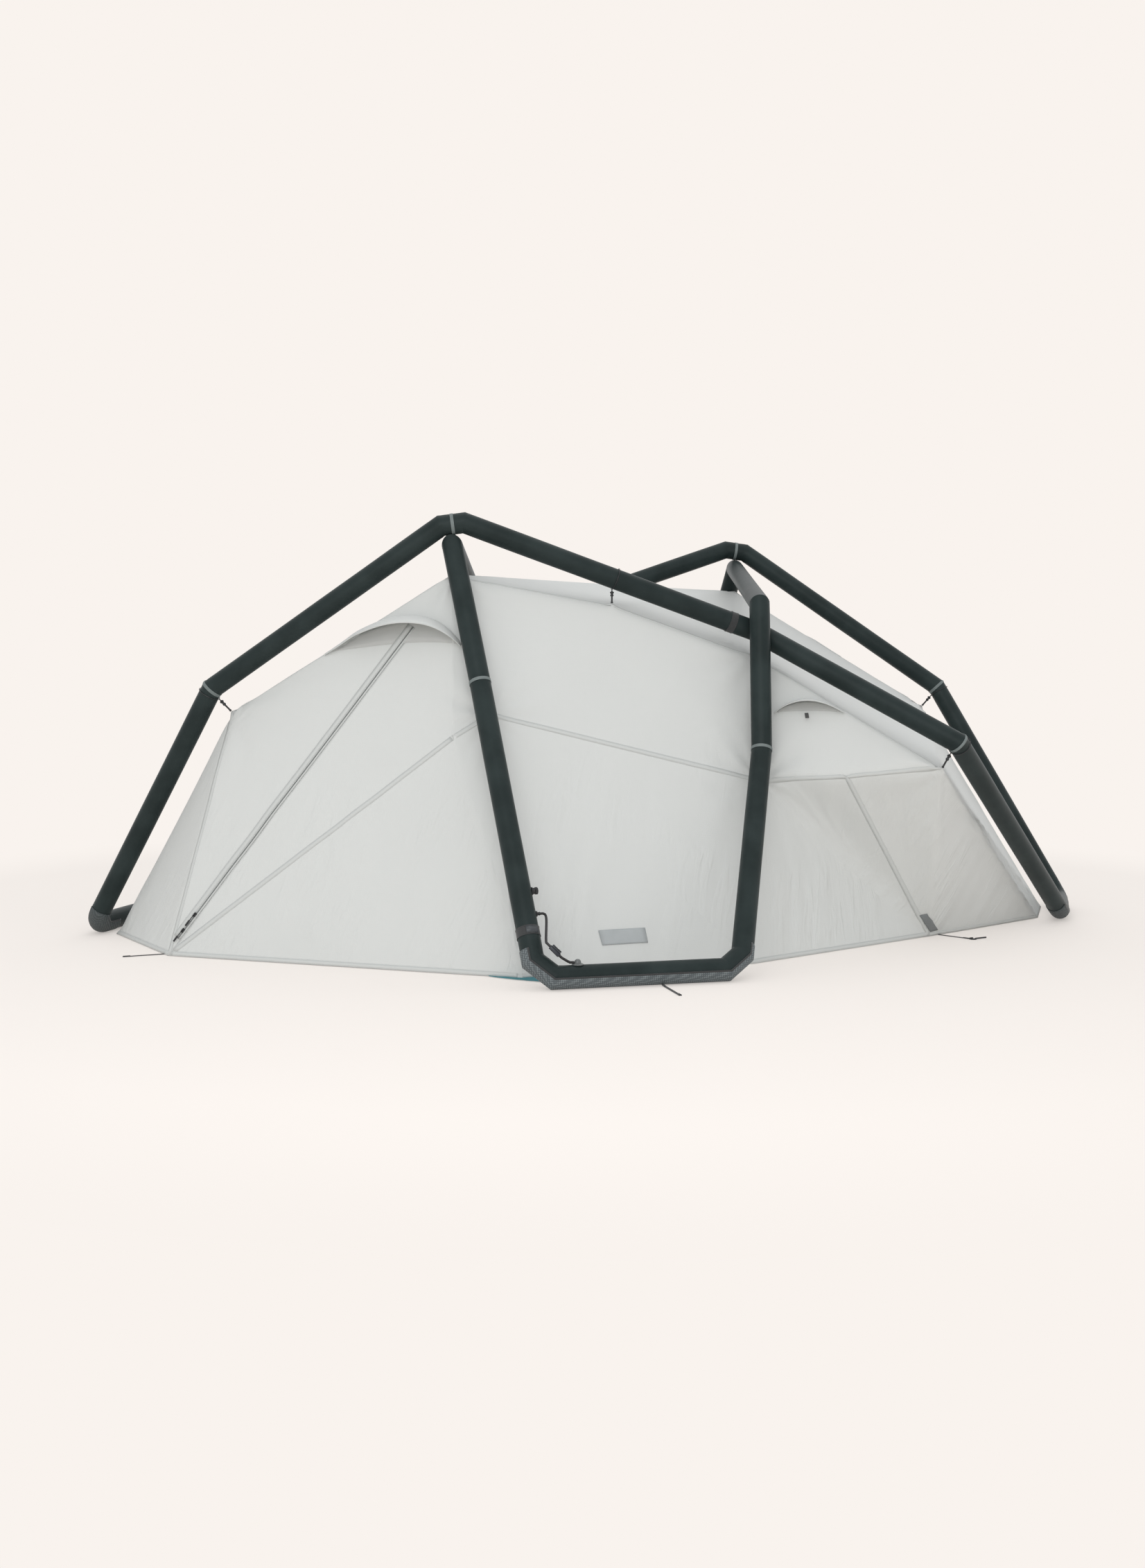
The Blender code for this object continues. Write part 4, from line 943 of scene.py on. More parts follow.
@dataclass
class Studio:
    """Plain pale floor, pale surround and soft light."""

    tone: tuple = colour(0.947, 0.896, 0.855)
    lit: tuple = colour(0.902, 0.855, 0.816)
    least: float = 0.40
    reach: float = 40.0
    fade_from: float = 2.0
    fade_to: float = 3.4
    world_strength: float = 0.88
    top_power: float = 12.0
    front_power: float = 74.0
    lamp_size: float = 4.5
    floor_height: float = -0.0006

    def floor(self) -> None:
        """The floor, whose far part shows the surround's own tone."""
        shape = bmesh.new()
        bmesh.ops.create_grid(shape, x_segments=8, y_segments=8, size=self.reach)
        mesh = mesh_from("studio_floor", shape)
        made = add_object("studio_floor", mesh)
        made.location.z = self.floor_height
        s = Shader("studio floor")
        at = s.place((1.0, 1.0, 0.0))
        away = s.node("ShaderNodeVectorMath", {"operation": "LENGTH"}, {0: at}, "Value")
        far = away.ramp(self.fade_from, self.fade_to).most(self.least)
        seen = [s.node("ShaderNodeLightPath", output=f"Is {kind} Ray")
                for kind in ("Camera", "Glossy", "Transmission")]
        shown = seen[0].most(seen[1]).most(seen[2])
        lit = s.node("ShaderNodeBsdfDiffuse", None, {"Color": self.lit})
        plain = s.node("ShaderNodeEmission", None, {"Color": self.tone, "Strength": 1.0})
        s.finish(s.node("ShaderNodeMixShader", None, {0: far * shown, 1: lit, 2: plain}))
        mesh.materials.append(s.material)

    def world(self) -> None:
        """The surround: its own tone to the camera, and soft light on the tent."""
        world = bpy.data.worlds.new("surround")
        bpy.context.scene.world = world
        s = Shader("surround", world)
        white = {"Color": colour(1.0, 1.0, 1.0), "Strength": self.world_strength}
        light = s.node("ShaderNodeBackground", None, white)
        shown = s.node("ShaderNodeBackground", None, {"Color": self.tone})
        seen = s.node("ShaderNodeLightPath", output="Is Camera Ray")
        s.finish(s.node("ShaderNodeMixShader", None, {0: seen, 1: light, 2: shown}),
                 "ShaderNodeOutputWorld")

    def lamp(self, name: str, place: Sequence[float], power: float) -> None:
        """One large soft lamp that points at the tent."""
        data = bpy.data.lights.new(name, "AREA")
        data.shape = "DISK"
        data.size = self.lamp_size
        data.energy = power
        at = Vector(place)
        aim = Vector((0.0, 0.0, 0.5)) - at
        turn = aim.to_track_quat("-Z", "Y").to_matrix().to_4x4()
        add_object(name, data).matrix_world = Matrix.Translation(at) @ turn

    def build(self) -> None:
        """Builds the whole studio."""
        self.floor()
        self.world()
        self.lamp("top light", (0.3, 0.4, 4.6), self.top_power)
        self.lamp("front light", (-1.2, -5.3, 2.8), self.front_power)


@dataclass
class AirFrame:
    """The inflated tubes of the arches, the hoop and the ends, and their ring tapes."""

    finishes: Finishes
    ground_bevel: float = 0.075
    foot_reach: float = 0.062
    foot_steps: int = 10
    tape_width: float = 0.010
    tape_thickness: float = 0.0008
    pucker: float = 0.0007
    pucker_reach: float = 0.035
    near: tuple = (0.004, 0.009, 0.015, 0.022, 0.031, 0.043, 0.060)

    def foot_arc(self, left: bool, steps: int) -> list[Vector]:
        """The round corner between the front arch and the ground tube at its foot."""
        near, far = ("left", "right") if left else ("right", "left")
        foot, bend = node_place(f"foot_{near}"), node_place(f"bend_{near}")
        return round_corner(bend, foot, node_place(f"rear_foot_{far}"), self.foot_reach, steps)

    def arch(self) -> list[Vector]:
        """The front arch from its left foot to its right foot."""
        left = self.foot_arc(True, 4)[0]
        right = self.foot_arc(False, 4)[0]
        places = [node_place(name) for name in ("bend_left", "apex", "crossing", "bend_right")]
        left = left + (places[0] - left).normalized() * SEAT
        right = right + (places[3] - right).normalized() * SEAT
        return [left, places[0], places[1] - APEX_HALF, places[1], places[1] + APEX_HALF,
                places[2], places[3], right]

    def hoop(self) -> list[Vector]:
        """The front half of the hoop, from under one apex to under the other."""
        names = ("hoop_bend_left", "corner_left", "corner_right", "hoop_bend_right", "hoop_top", "hoop_apex")
        bend, left, right, other, top, apex = [node_place(name) for name in names]
        end = half_turn(apex)
        start = apex + (bend - apex).normalized() * SEAT
        last = end + (top - end).normalized() * SEAT
        return [start, bend, *cut_corner(bend, left, right, self.ground_bevel),
                *cut_corner(left, right, other, self.ground_bevel), other, top, last]

    def hoop_planes(self) -> tuple[Vector, Vector]:
        """The mitre planes on which the two halves of the hoop meet."""
        apex, bend = node_place("hoop_apex"), node_place("hoop_bend_left")
        first = (apex - bend).normalized() + (node_place("rear_hoop_top") - apex).normalized()
        return -first, half_turn(first)

    def ground(self, steps: int) -> tuple[list[Vector], tuple[Vector, Vector]]:
        """The left end's ground tube and the planes at its two ends."""
        near = self.foot_arc(True, steps)
        far = [half_turn(point) for point in self.foot_arc(False, steps)]
        path = near + far[::-1]
        joints = (path[0] - node_place("bend_left"), node_place("rear_bend_right") - path[-1])
        return path, joints

    def tube(self, word: str, path: Path, side: Side) -> None:
        """One inflated tube, slightly puckered beside each welded bend."""
        frames = path.frames(self.near, 0.08)
        bends = path.points[1:-1]

        def relief(place: Vector, number: int) -> float:
            """Small pleats that fade away from the nearest bend."""
            away = min((frames[number].translation - bend).length for bend in bends)
            fade = math.exp(-(away / self.pucker_reach) ** 2)
            swell = 0.0006 * noise.noise(place * 4.0)
            return swell + self.pucker * fade * (noise.noise(place * 95.0) - 0.35)

        shape = bmesh.new()
        sweep(shape, ring(shape, TUBE_RADIUS, TUBE_SIDES, frames[0]), frames, relief)
        outward(shape)
        add_piece(word + "_sleeve", shape, self.finishes.sleeve, side=side,
                  replaced=word + "_tube")

    def ring_tape(self, shape: BMesh, points: Sequence[Vector], number: int) -> None:
        """One welded ring over a bend of a path."""
        place = points[number]
        back = (points[number - 1] - place).normalized() * (self.tape_width / 2)
        on = (points[number + 1] - place).normalized() * (self.tape_width / 2)
        mitre = (on - back).normalized()
        sleeve(shape, Path([place + back, place, place + on], 0, (mitre, mitre)), TUBE_RADIUS + SEAT,
               self.tape_thickness)

    def build(self) -> None:
        """Builds the tubes and the tapes."""
        arch, hoop, planes = self.arch(), self.hoop(), self.hoop_planes()
        for side in Side:
            self.tube(side.part("arch"), Path(arch), side)
            self.tube(side.part("hoop"), Path(hoop, 3, planes), side)
            for word, points, bends in (("arch", arch, (1, 3, 6)), ("hoop", hoop, (1, 6))):
                shape = bmesh.new()
                for number in bends:
                    self.ring_tape(shape, points, number)
                add_piece(side.part(word + "_ring_tapes"), shape, self.finishes.tape, side=side)
        path, joints = self.ground(self.foot_steps)
        for side, word in ((Side.FRONT, "left"), (Side.REAR, "right")):
            self.tube(word + "_ground", Path(path, self.foot_steps, joints), side)


@dataclass
class GroundGuards:
    """Woven guards under the tubes where they meet the ground, with a hem along each long edge."""

    finishes: Finishes
    frame: AirFrame
    thickness: float = 0.0015
    leg_reach: float = 0.030
    foot_reach: float = 0.050
    arc_steps: int = 28
    hem_width: float = 0.005
    hem_thickness: float = 0.0008
    first: float = -math.pi * 23 / 24
    last: float = math.pi / 24

    def gutter(self, name: str, path: Path, side: Side, replaced: str, finish: Material) -> None:
        """A guard that follows the lower half of a tube, with its hems."""
        frames = path.frames((0.006, 0.014, 0.026), 0.05)
        shape = bmesh.new()
        made = arc(shape, TUBE_RADIUS + SEAT, self.first, self.last, self.arc_steps, frames[0])
        sweep(shape, made, frames, None, False)
        orient(shape, lambda _: -UP, -1)
        guard = add_piece(name, shape, finish, side=side, replaced=replaced)
        thicken(guard, self.thickness, 1.0)
        self.hems(name + "_hems", frames, side)

    def hems(self, name: str, frames: Sequence[Matrix], side: Side) -> None:
        """Narrow folded hems along the guard's two long edges."""
        shape = bmesh.new()
        radius = TUBE_RADIUS + SEAT
        reach = self.hem_width / radius
        for start, end in ((self.first, self.first + reach), (self.last - reach, self.last)):
            made = arc(shape, radius + self.thickness, start, end, 3, frames[0])
            sweep(shape, made, frames, None, False)
        turn_out(shape)
        thicken(add_piece(name, shape, self.finishes.webbing, side=side), self.hem_thickness)

    def build(self) -> None:
        """Builds the guards under the hoop's ground runs and at the four feet."""
        hoop = self.frame.hoop()
        legs = [hoop[2] + (hoop[1] - hoop[2]).normalized() * self.leg_reach, *hoop[2:6]]
        legs.append(hoop[5] + (hoop[6] - hoop[5]).normalized() * self.leg_reach)
        for side in Side:
            self.gutter(side.part("ground_guard_cloth"), Path(legs, 2), side, side.part("ground_guard"),
                        self.finishes.guard)
        steps = self.frame.foot_steps
        path, joints = self.frame.ground(steps)
        ground = (path[steps + 1] - path[steps]).normalized() * self.foot_reach
        near = Path(path[:steps + 1] + [path[steps] + ground], steps, (joints[0], None))
        far = Path([path[steps + 1] - ground] + path[steps + 1:], 0, (None, joints[1]))
        rows = ((near, Side.FRONT, "front_left"), (far, Side.FRONT, "rear_left"),
                (near, Side.REAR, "rear_right"), (far, Side.REAR, "front_right"))
        for corner, side, word in rows:
            self.gutter(word + "_foot_cloth", corner, side, word + "_foot_guard",
                        self.finishes.foot_guard)


class ClothSurface:
    """The fly's finished surface, which other pieces are laid on."""

    def __init__(self, shape: BMesh, tape: Material) -> None:
        """Keeps a search tree of the surface and the finish of its tapes."""
        self.tree = BVHTree.FromBMesh(shape)
        self.tape = tape

    def lay(self, place: Vector, lift: float = LIFT) -> Vector:
        """The nearest place on the cloth, lifted off it."""
        on, normal, _, _ = self.tree.find_nearest(place)
        return on + normal * lift

    def normal(self, place: Vector) -> Vector:
        """The cloth's outward direction beside a place."""
        return self.tree.find_nearest(place)[1]

    def hit(self, start: Vector, way: Vector, lift: float = LIFT) -> Vector | None:
        """Where a ray meets the cloth, lifted off it."""
        on, normal, _, _ = self.tree.ray_cast(start, way)
        return None if on is None else on + normal * lift


def ribbon(surface: ClothSurface, name: str, line: Sequence[Vector], width: float, side: Side,
           body: str = "tent", lift: float = LIFT, thickness: float = 0.0008,
           drop: float = 0.0, replaced: str = "") -> Object:
    """A flat tape laid on the cloth along a line.

    Args:
        surface: The cloth that it lies on.
        name: Name of the piece.
        line: Corners of the line, which is walked in short steps.
        width: Width of the tape.
        side: The half of the tent that it is turned to.
        body: The body that it rides on.
        lift: Distance of its middle from the cloth's middle.
        thickness: Its thickness.
        drop: Length left free at each end.
        replaced: The node that it stands for, if there is one.

    Returns:
        The piece.
    """
    stations = []
    for a, b in zip(line, line[1:]):
        length = (b - a).length
        steps = max(2, round(length / 0.02))
        stations += [a.lerp(b, k / steps) for k in range(steps + (b is line[-1]))]
    if drop:
        stations[0] = stations[0] + (stations[1] - stations[0]).normalized() * drop
        stations[-1] = stations[-1] + (stations[-2] - stations[-1]).normalized() * drop
    shape = bmesh.new()
    shares = (0.0, 0.5, 1.0)
    walked = 0.0
    marks: dict[BMVert, tuple[float, float]] = {}
    row: list[BMVert] = []
    for n, place in enumerate(stations):
        way = (stations[min(n + 1, len(stations) - 1)] - stations[max(n - 1, 0)]).normalized()
        across = surface.normal(place).cross(way).normalized()
        walked += (place - stations[n - 1]).length if n else 0.0
        spots = [surface.lay(place + across * (width * (share - 0.5)), lift) for share in shares]
        row = next_row(shape, row, spots) if n else first_row(shape, spots)
        marks |= {v: (share, walked) for v, share in zip(row, shares)}
    map_cloth(shape, marks.get)
    orient(shape, surface.normal)
    return thicken(add_piece(name, shape, surface.tape, body, side, replaced), thickness)


PANELS = (
    ("end_corner", "hem_left", "zip_top", False), ("end_corner", "zip_top", "peak", False),
    ("peak", "zip_top", "seam_door", False), ("peak", "seam_door", "leg_left", False),
    ("leg_left", "seam_door", "hem_door", False),
    ("peak", "leg_left", "crease", True), ("crease", "leg_left", "leg_right", True),
    ("crease", "leg_right", "crossing", True),
    ("leg_left", "hem_door", "hem_front", False), ("leg_left", "hem_front", "leg_right", True),
    ("crossing", "leg_right", "seam_middle", False), ("crossing", "seam_middle", "side_corner", False),
    ("leg_right", "hem_front", "hem_right", True), ("leg_right", "hem_right", "seam_middle", True),
    ("seam_middle", "hem_right", "side_corner", True), ("side_corner", "hem_right", "hem_heel", False),
    ("side_corner", "hem_heel", "rear_hem_foot", True),
    ("side_corner", "rear_hem_foot", "rear_end_corner", True),
    ("rear_end_corner", "rear_hem_foot", "rear_hem_left", True),
    ("crossing", "side_corner", "rear_end_corner", True), ("crossing", "rear_end_corner", "rear_peak", True),
    ("crease", "crossing", "rear_peak", True), ("peak", "crease", "rear_peak", True),
)
FREE_SPANS = {5: 1, 6: 1, 7: 1, 8: 2, 9: 2, 12: 3, 13: 3}
DOOR_PANELS = (("zip_top", "hem_left", "seam_door", False), ("seam_door", "hem_left", "hem_door", False))
MARKS = 4
HANG_POINTS = ("end_corner", "peak", "crossing", "side_corner", "leg_left", "leg_right")


def other_half(name: str) -> str:
    """The same corner's name on the other side of the tent's axis."""
    return name[5:] if name.startswith("rear_") else "rear_" + name


@dataclass
class Fly:
    """The outer tent: one continuous sheet under tension, with its two door leaves cut from it."""

    finishes: Finishes
    cuts: int = 39
    sag: float = 0.010
    easing: int = 5
    wide_easing: int = 140
    fold: float = 0.0075
    fold_width: float = 0.052
    fold_length: float = 0.30
    fold_least: float = 0.12
    fold_top: float = 0.66
    fold_fade: float = 0.30
    hem_reach: float = 0.06
    hang_fold: float = 0.0034
    hang_reach: float = 0.16
    door_gap: float = 0.0008
    hinge_reach: float = 0.012
    join_reach: float = 0.030
    seam_width: float = 0.016
    seam_drop: float = 0.0015
    hem_width: float = 0.014
    hem_rise: float = 0.008
    heart: Vector = fixed(0.0, 0.0, 1.3)

    def panel(self, names: Sequence[str], sags: bool, mark: int) -> BMesh:
        """One panel as a net of small triangles that hangs in at its middle."""
        a, b, c = cloth_line(*names)
        inward = towards((b - a).cross(c - a).normalized(), self.heart - a - b - c)
        shape = bmesh.new()
        face = shape.faces.new([shape.verts.new(place) for place in (a, b, c)])
        bmesh.ops.subdivide_edges(shape, edges=face.edges[:], cuts=self.cuts, use_grid_fill=True)
        bmesh.ops.triangulate(shape, faces=shape.faces[:])
        level = inward.cross(UP).normalized()
        slope = level.cross(inward).normalized()
        map_cloth(shape, lambda v: (v.co.dot(level), v.co.dot(slope)))
        for small in shape.faces:
            small.material_index = mark
        if sags:
            area = (b - a).cross(c - a).length
            for v in shape.verts:
                u = (v.co - a).cross(c - a).length / area
                w = (v.co - a).cross(b - a).length / area
                v.co += inward * (self.sag * 27 * u * w * max(0.0, 1 - u - w))
        return shape

    def wrinkle(self, place: Vector, normal: Vector) -> float:
        """Height of the cloth's folds at a place."""
        low = max(self.fold_least, min(1.0, (self.fold_top - place.z) / self.fold_fade))
        hem = max(0.0, min(1.0, place.z / self.hem_reach))
        way = normal.cross(UP)
        if way.length < 0.3:
            low = 0.0
        run = place.dot(way.normalized()) if way.length > 0.01 else 0.0
        drift = noise.noise(Vector((place.x * 3.0, place.y * 3.0, place.z * 1.2))) * 5.0
        patch = max(0.0, noise.noise(place * 2.2) + 0.55)
        crumple = Vector(((run + 0.3 * place.z) / self.fold_width, place.z / self.fold_length, drift * 0.1))
        height = self.fold * low * hem * patch * noise.noise(crumple)
        for name in HANG_POINTS:
            for point in (cloth_place(name), cloth_place(other_half(name))):
                away = place - point
                if away.length < self.hang_reach * 2.2:
                    flat = away - normal * away.dot(normal)
                    turn = math.atan2(flat.dot(UP), flat.dot(way.normalized())) if way.length > 0.01 else 0.0
                    fade = math.exp(-(away.length / self.hang_reach) ** 2) * min(1.0, away.length / 0.03)
                    height += self.hang_fold * fade * math.sin(turn * 9.0 + drift)
        return height

    def whole(self) -> BMesh:
        """The whole cloth with both doors shut, eased and folded."""
        cloth = bmesh.new()
        for side, rear in ((0, False), (1, True)):
            for panels, mark in ((PANELS, 0), (DOOR_PANELS, 1 + side)):
                for number, (a, b, c, sags) in enumerate(panels):
                    names = [other_half(name) if rear else name for name in (a, b, c)]
                    span = 0 if mark else FREE_SPANS.get(number, 0)
                    mesh = mesh_from("panel", self.panel(names, sags, mark + MARKS * span))
                    cloth.from_mesh(mesh)
                    bpy.data.meshes.remove(mesh)
        bmesh.ops.remove_doubles(cloth, verts=cloth.verts, dist=0.0002)
        pins = cloth_line(*CLOTH, *map(other_half, CLOTH))
        pins = [pin for pin in pins if pin.z > 0.05]
        held = {v for v in cloth.verts if v.is_boundary or any((v.co - pin).length < 0.004 for pin in pins)}
        loose = [v for v in cloth.verts if v not in held]
        spans = {v: {face.material_index // MARKS for face in v.link_faces} for v in loose}
        ease(cloth, [v for v, span in spans.items() if len(span) == 1 and 0 not in span], self.wide_easing)
        ease(cloth, loose, self.easing)
        orient(cloth, lambda _: UP, 1)
        cloth.normal_update()
        shift([(v, v.normal * self.wrinkle(v.co, v.normal)) for v in loose])
        cloth.normal_update()
        return cloth

    def leaf(self, cloth: BMesh, mark: int) -> BMesh:
        """The part of the cloth with one mark, drawn in by a small gap where it is cut out."""
        part = cloth.copy()
        rest = [face for face in part.faces if face.material_index % MARKS != mark]
        bmesh.ops.delete(part, geom=rest, context="FACES")
        for face in part.faces:
            face.material_index = 0
        if not mark:
            return part
        middle = sum((v.co for v in part.verts), Vector()) / len(part.verts)
        moves = []
        for v in part.verts:
            if v.is_boundary and not self.on_hinge(v.co, mark, self.hinge_reach):
                inner = [e.other_vert(v).co for e in v.link_edges if not e.is_boundary]
                aim = sum(inner, Vector()) / len(inner) if inner else middle
                moves.append((v, (aim - v.co).normalized() * self.door_gap))
        shift(moves)
        return part

    def on_hinge(self, place: Vector, mark: int, reach: float) -> bool:
        """Whether a place of a door's edge lies on the line that the door turns about."""
        top, foot = [half_turn(end) if mark == 2 else end for end in cloth_line("zip_top", "hem_door")]
        near, _ = intersect_point_line(place, top, foot)
        return (near - place).length < reach

    def join(self, made: Object, tree: KDTree, normals: Sequence[Vector]) -> None:
        """Applies a cloth's thickness and gives it the uncut cloth's normals beside the hinges."""
        graph = bpy.context.evaluated_depsgraph_get()
        mesh = bpy.data.meshes.new_from_object(made.evaluated_get(graph), preserve_all_data_layers=True,
                                               depsgraph=graph)
        made.modifiers.clear()
        made.data = mesh
        near = {v.index for v in mesh.vertices
                if any(self.on_hinge(v.co, mark, self.join_reach) for mark in (1, 2))}
        wanted = [Vector() for _ in mesh.loops]
        for face in mesh.polygons:
            for number in face.loop_indices:
                vertex = mesh.loops[number].vertex_index
                if vertex in near:
                    normal = normals[tree.find(mesh.vertices[vertex].co)[1]]
                    turn = face.normal.dot(normal)
                    if abs(turn) > 0.6:
                        wanted[number] = normal * math.copysign(1.0, turn)
        mesh.normals_split_custom_set(wanted)

    def build(self) -> ClothSurface:
        """Builds the fly and its doors, and returns the surface that other pieces are laid on."""
        cloth = self.whole()
        surface = ClothSurface(cloth, self.finishes.seam)
        normals = [v.normal.copy() for v in cloth.verts]
        tree = KDTree(len(normals))
        for number, v in enumerate(cloth.verts):
            tree.insert(v.co, number)
        tree.balance()
        rows = ((0, "fly", "tent", "outer_tent"),
                *((mark, side.part("door_leaf_cloth"), side.part("door_leaf"), side.part("door"))
                  for mark, side in ((1, Side.FRONT), (2, Side.REAR))))
        for mark, name, body, replaced in rows:
            made = add_piece(name, self.leaf(cloth, mark), self.finishes.fly, body,
                             replaced=replaced, smooth_angle=CLOTH_ANGLE)
            self.join(thicken(made, FLY_THICKNESS), tree, normals)
            if mark:
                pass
            else:
                [s.part("arch_sleeve") for s in Side]
        cloth.free()
        return surface

    def seams(self, surface: ClothSurface) -> None:
        """The lapped seams between the panels, and the hem."""
        rows = (("end_seam", 1.0, "end_corner", "hem_left"), ("leg_seam", 1.0, "leg_left", "seam_door"),
                ("waist_seam", 1.0, "leg_left", "leg_right", "seam_middle", "side_corner"),
                ("side_seam", 1.0, "seam_middle", "hem_right"),
                ("ridge_seam", 0.5, "peak", "crease", "crossing", "side_corner"),
                ("roof_seam", 0.5, "end_corner", "peak"))
        for word, share, *names in rows:
            for side in Side:
                ribbon(surface, side.part(word), cloth_line(*names), self.seam_width * share, side,
                       drop=self.seam_drop)
        start, end = cloth_line("seam_door", "hem_left")
        door = [start, end.lerp(start, 0.02)]
        names = ("hem_left", "hem_door", "hem_front", "hem_right", "hem_heel", "rear_hem_foot",
                 "rear_hem_left")
        hem = [place + UP * self.hem_rise for place in cloth_line(*names)]
        for side in Side:
            leaf = side.part("door_leaf")
            for word, line, width, drop, body in (
                    ("door_seam", door, self.seam_width, self.seam_drop, leaf),
                    ("door_hem", hem[:2], self.hem_width, 0.012, leaf),
                    ("hem", hem[1:], self.hem_width, 0.003, "tent")):
                ribbon(surface, side.part(word), line, width, side, body, drop=drop)


@dataclass
class Hoods:
    """Brims over the door's top and over the side vent, each with a bound edge and a net behind whose darker
    colour is partly painted shade under the brim.
    """

    finishes: Finishes
    surface: ClothSurface
    door_reach: float = 0.088
    vent_reach: float = 0.060
    end_share: float = 0.06
    droop: float = 0.52
    steps: int = 44
    rows: int = 10
    seat: float = 0.0012
    thickness: float = 0.0016
    binding: float = 0.0018
    net_drop: float = 0.85
    net_thickness: float = 0.0004
    vent_shares: tuple = ((0.525, 0.095), (0.602, 0.29), (0.485, 0.485))
    strut_corners: tuple = (Vector((0.39974, -0.65463, 0.53509)), Vector((0.40678, -0.49766, 0.90753)),
                            Vector((0.91302, -0.81568, 0.57220)))
    strut_shares: tuple = (0.50, 0.29)
    strut_size: tuple = (0.046, 0.012, 0.0020)
    pad_size: tuple = (0.014, 0.0105, 0.0034)

    def brim(self, word: str, places: Sequence[Vector], way: Vector, reach: float) -> None:
        """One bowed brim with its binding and its net."""
        left, crown, right = places
        up = towards(way.cross(left - right).normalized(), UP)
        chord = (left + right) / 2
        rise = (crown - chord).dot(up)
        lift = crown * 2 - chord
        bases, bows = [], []
        for i in range(self.steps + 1):
            t = i / self.steps
            base = left * (1 - t) ** 2 + lift * (2 * t * (1 - t)) + right * t ** 2
            on = self.surface.hit(base + way * 0.2, -way, self.seat)
            bases.append(on if on is not None else self.surface.lay(base, self.seat))
            bows.append(math.sin(math.pi * (self.end_share + (1 - 2 * self.end_share) * t)))
        shape = bmesh.new()
        row = first_row(shape, bases)
        edge = bases
        for j in range(1, self.rows + 1):
            out = j / self.rows
            edge = [base + way * (reach * bow * out ** 0.92) - up * (rise * self.droop * out * out * bow)
                    for base, bow in zip(bases, bows)]
            row = next_row(shape, row, edge)
        orient(shape, lambda _: UP, 1)
        area = sum(face.calc_area() for face in shape.faces)
        width = (right - left).length
        level = (right - left).normalized()
        map_cloth(shape, lambda v: (v.co.dot(level), v.co.dot(way)))
        for side in Side:
            made = add_piece(side.part(word + "_brim"), shape.copy(), self.finishes.fly,
                             side=side, replaced=side.part(word))
            bound = bmesh.new()
            rod(bound, edge, self.binding, 8)
            outward(bound)
            bound = add_piece(side.part(word + "_binding"), bound, self.finishes.seam,
                              side=side)
            thicken(made, self.thickness)
            max(0.02, area / width * 1.8)
            self.net(side, word, bases, way)
        shape.free()

    def net(self, side: Side, word: str, bases: Sequence[Vector], way: Vector) -> None:
        """The net of the vent, between the brim's foot and the line that joins its two ends; its darker
        colour is partly painted shade under the brim.
        """
        chord = [intersect_point_line(base, bases[0], bases[-1])[0] for base in bases]
        top, low = [[base.lerp(foot, share) for base, foot in zip(bases, chord)][2:-2]
                    for share in (0.04, self.net_drop)]
        shape = bmesh.new()
        row: list[BMVert] = []
        for k in range(5):
            spots = [self.surface.lay(a.lerp(b, k / 4)) for a, b in zip(top, low)]
            row = next_row(shape, row, spots) if k else first_row(shape, spots)
        orient(shape, lambda _: way)
        map_cloth(shape, lambda v: (v.co.x, v.co.z))
        made = add_piece(side.part(word + "_net"), shape, self.finishes.net, side=side)
        thicken(made, self.net_thickness)

    def build(self) -> None:
        """Builds the hoods, the nets and the vent's strut."""
        names = ("end_corner", "zip_top", "peak", "leg_left", "hem_left", "seam_door")
        corner, top, peak, leg, hem, seam = cloth_line(*names)
        way = towards((peak - corner).cross(hem - corner).normalized(), FRONT)
        other = towards((leg - peak).cross(seam - peak).normalized(), FRONT)
        places = (corner.lerp(peak, 0.43), top.lerp(corner.lerp(peak, 0.74), 0.42),
                  top.lerp(peak.lerp(leg, 0.56), 0.80))
        self.brim("door_hood", places, (way + other).normalized(), self.door_reach)
        top, leg, corner = cloth_line("crossing", "leg_right", "side_corner")
        normal = towards((leg - top).cross(corner - top).normalized(), FRONT)
        places = [leg + (top - leg) * a + (corner - leg) * b for a, b in self.vent_shares]
        self.brim("vent_hood", places, normal, self.vent_reach)
        self.strut()

    def strut(self) -> None:
        """The stiff strap that props the vent's brim, with a rounded tip and a stitched pad."""
        leg, top, corner = self.strut_corners
        normal = towards((leg - top).cross(corner - top).normalized(), FRONT)
        up = towards(normal.cross(corner - leg).normalized(), UP)
        foot = leg + (top - leg) * self.strut_shares[0] + (corner - leg) * self.strut_shares[1]
        at = foot + normal * (FLY_THICKNESS + SEAT + self.strut_size[0] / 2)
        for side in Side:
            shape = bmesh.new()
            block(shape, self.strut_size, placed(at, normal, up), 0.0009)
            block(shape, self.pad_size, placed(at + normal * self.pad_size[0], normal, up), 0.0012)
            outward(shape)
            add_piece(side.part("vent_prop"), shape, self.finishes.plastic,
                      side.part("strut"), side, side.part("vent_strut"))


